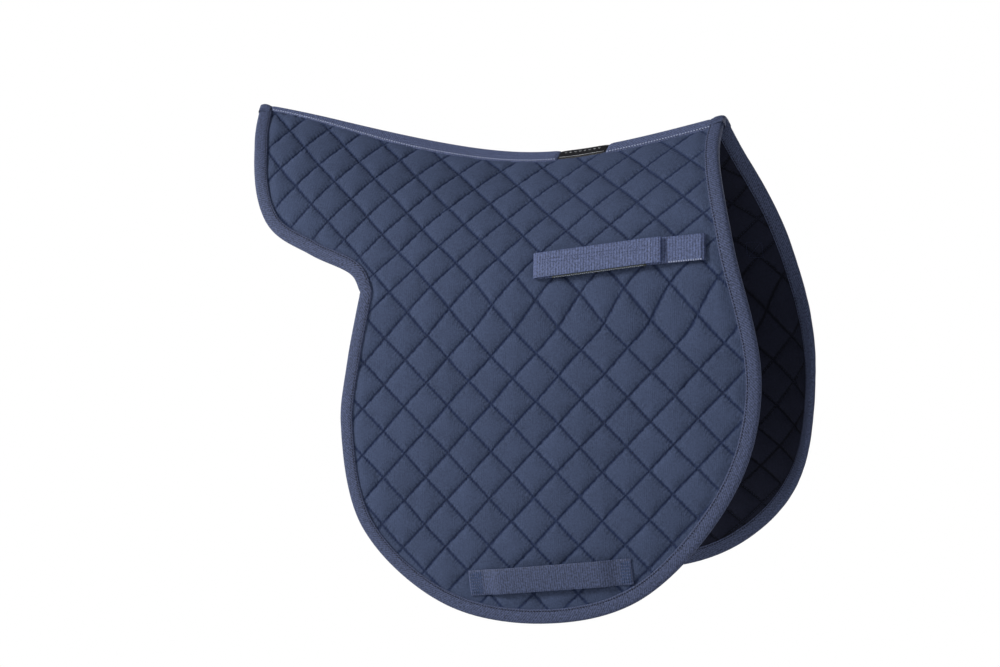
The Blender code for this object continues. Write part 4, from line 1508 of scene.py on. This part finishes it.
class SADDLEPAD_OT_stage(Operator):
    """Set up the pale floor, the soft studio light and the camera"""
    bl_idname = "saddlepad.stage"
    bl_label = "Stage"

    def execute(self, context):
        stage = context.scene.saddlepad_stage
        paper, tree, shader = new_material("pale floor", Base_Color=(0.85, 0.85, 0.85, 1.0),
                                           Roughness=0.9, Specular_IOR_Level=0.1)
        lit = value_of(tree, "ShaderNodeEmission", in_Color=WHITE, in_Strength=1.0)
        show_camera(tree, Value(tree, shader.outputs[0]), lit, tree.nodes["Material Output"])
        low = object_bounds()[0][2] - stage.floor_drop
        corners = np.array([[(x, y, low) for x in (-FLOOR_SPAN, FLOOR_SPAN)]
                            for y in (-FLOOR_SPAN, FLOOR_SPAN)])
        laid_grid("floor", corners, corners[..., :2], paper)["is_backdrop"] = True

        world = bpy.data.worlds.new("studio")
        world.use_nodes = True
        tree = world.node_tree
        tree.nodes.clear()
        soft = value_of(tree, "ShaderNodeBackground", in_Color=(0.9, 0.93, 1.0, 1.0),
                        in_Strength=stage.ambient)
        seen = value_of(tree, "ShaderNodeBackground", in_Color=WHITE, in_Strength=1.0)
        show_camera(tree, soft, seen, node(tree, "ShaderNodeOutputWorld"))
        context.scene.world = world

        area_light("key", (-2.4, -1.6, 1.0), 1.0, stage.key)
        area_light("fill", (1.2, -2.8, 0.6), 2.0, stage.fill)
        area_light("back", (0.5, 2.7, 1.5), 2.0, stage.back)

        turn, lift = radians(CAMERA_TURN), radians(CAMERA_LIFT)
        way = Vector((sin(turn) * cos(lift), -cos(turn) * cos(lift), sin(lift)))
        camera = bpy.data.cameras.new("camera")
        camera.lens = CAMERA_LENS
        camera.sensor_width = 36.0
        camera.sensor_fit = "HORIZONTAL"
        camera.clip_start = 0.05
        context.scene.camera = aimed_object("camera", camera,
                                            Vector(CAMERA_TARGET) + way * CAMERA_DISTANCE,
                                            way.to_track_quat("Z", "Y"))
        context.scene.view_settings.view_transform = "Standard"
        return {"FINISHED"}


# ----------------------------------------------------------------- the panel

OPERATORS = (
    SADDLEPAD_OT_quilted_sides,
    SADDLEPAD_OT_edge_bindings,
    SADDLEPAD_OT_spine,
    SADDLEPAD_OT_upper_straps,
    SADDLEPAD_OT_girth_keepers,
    SADDLEPAD_OT_stage,
)
SETTINGS = (
    ("saddlepad_quilt", QuiltSettings),
    ("saddlepad_binding", BindingSettings),
    ("saddlepad_spine", SpineSettings),
    ("saddlepad_straps", StrapSettings),
    ("saddlepad_stage", StageSettings),
)


class SADDLEPAD_PT_panel(Panel):
    """Sizes, colours and building steps of the saddle pad"""
    bl_idname = "SADDLEPAD_PT_panel"
    bl_label = "Saddle Pad"
    bl_space_type = "VIEW_3D"
    bl_region_type = "UI"
    bl_category = "Saddle Pad"

    def draw(self, context):
        for name, group in SETTINGS:
            box = self.layout.box()
            settings = getattr(context.scene, name)
            for key in group.__annotations__:
                box.prop(settings, key)
        for operator in OPERATORS:
            self.layout.operator(operator.bl_idname)


def register():
    for name, group in SETTINGS:
        bpy.utils.register_class(group)
        setattr(bpy.types.Scene, name, PointerProperty(type=group))
    for operator in OPERATORS:
        bpy.utils.register_class(operator)
    bpy.utils.register_class(SADDLEPAD_PT_panel)


def unregister():
    bpy.utils.unregister_class(SADDLEPAD_PT_panel)
    for operator in reversed(OPERATORS):
        bpy.utils.unregister_class(operator)
    for name, group in reversed(SETTINGS):
        delattr(bpy.types.Scene, name)
        bpy.utils.unregister_class(group)


def main():
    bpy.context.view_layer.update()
    register()
    bpy.ops.saddlepad.quilted_sides()
    bpy.ops.saddlepad.edge_bindings()
    bpy.ops.saddlepad.spine()
    bpy.ops.saddlepad.upper_straps()
    bpy.ops.saddlepad.girth_keepers()
    bpy.ops.saddlepad.stage()


if __name__ == "__main__":
    main()
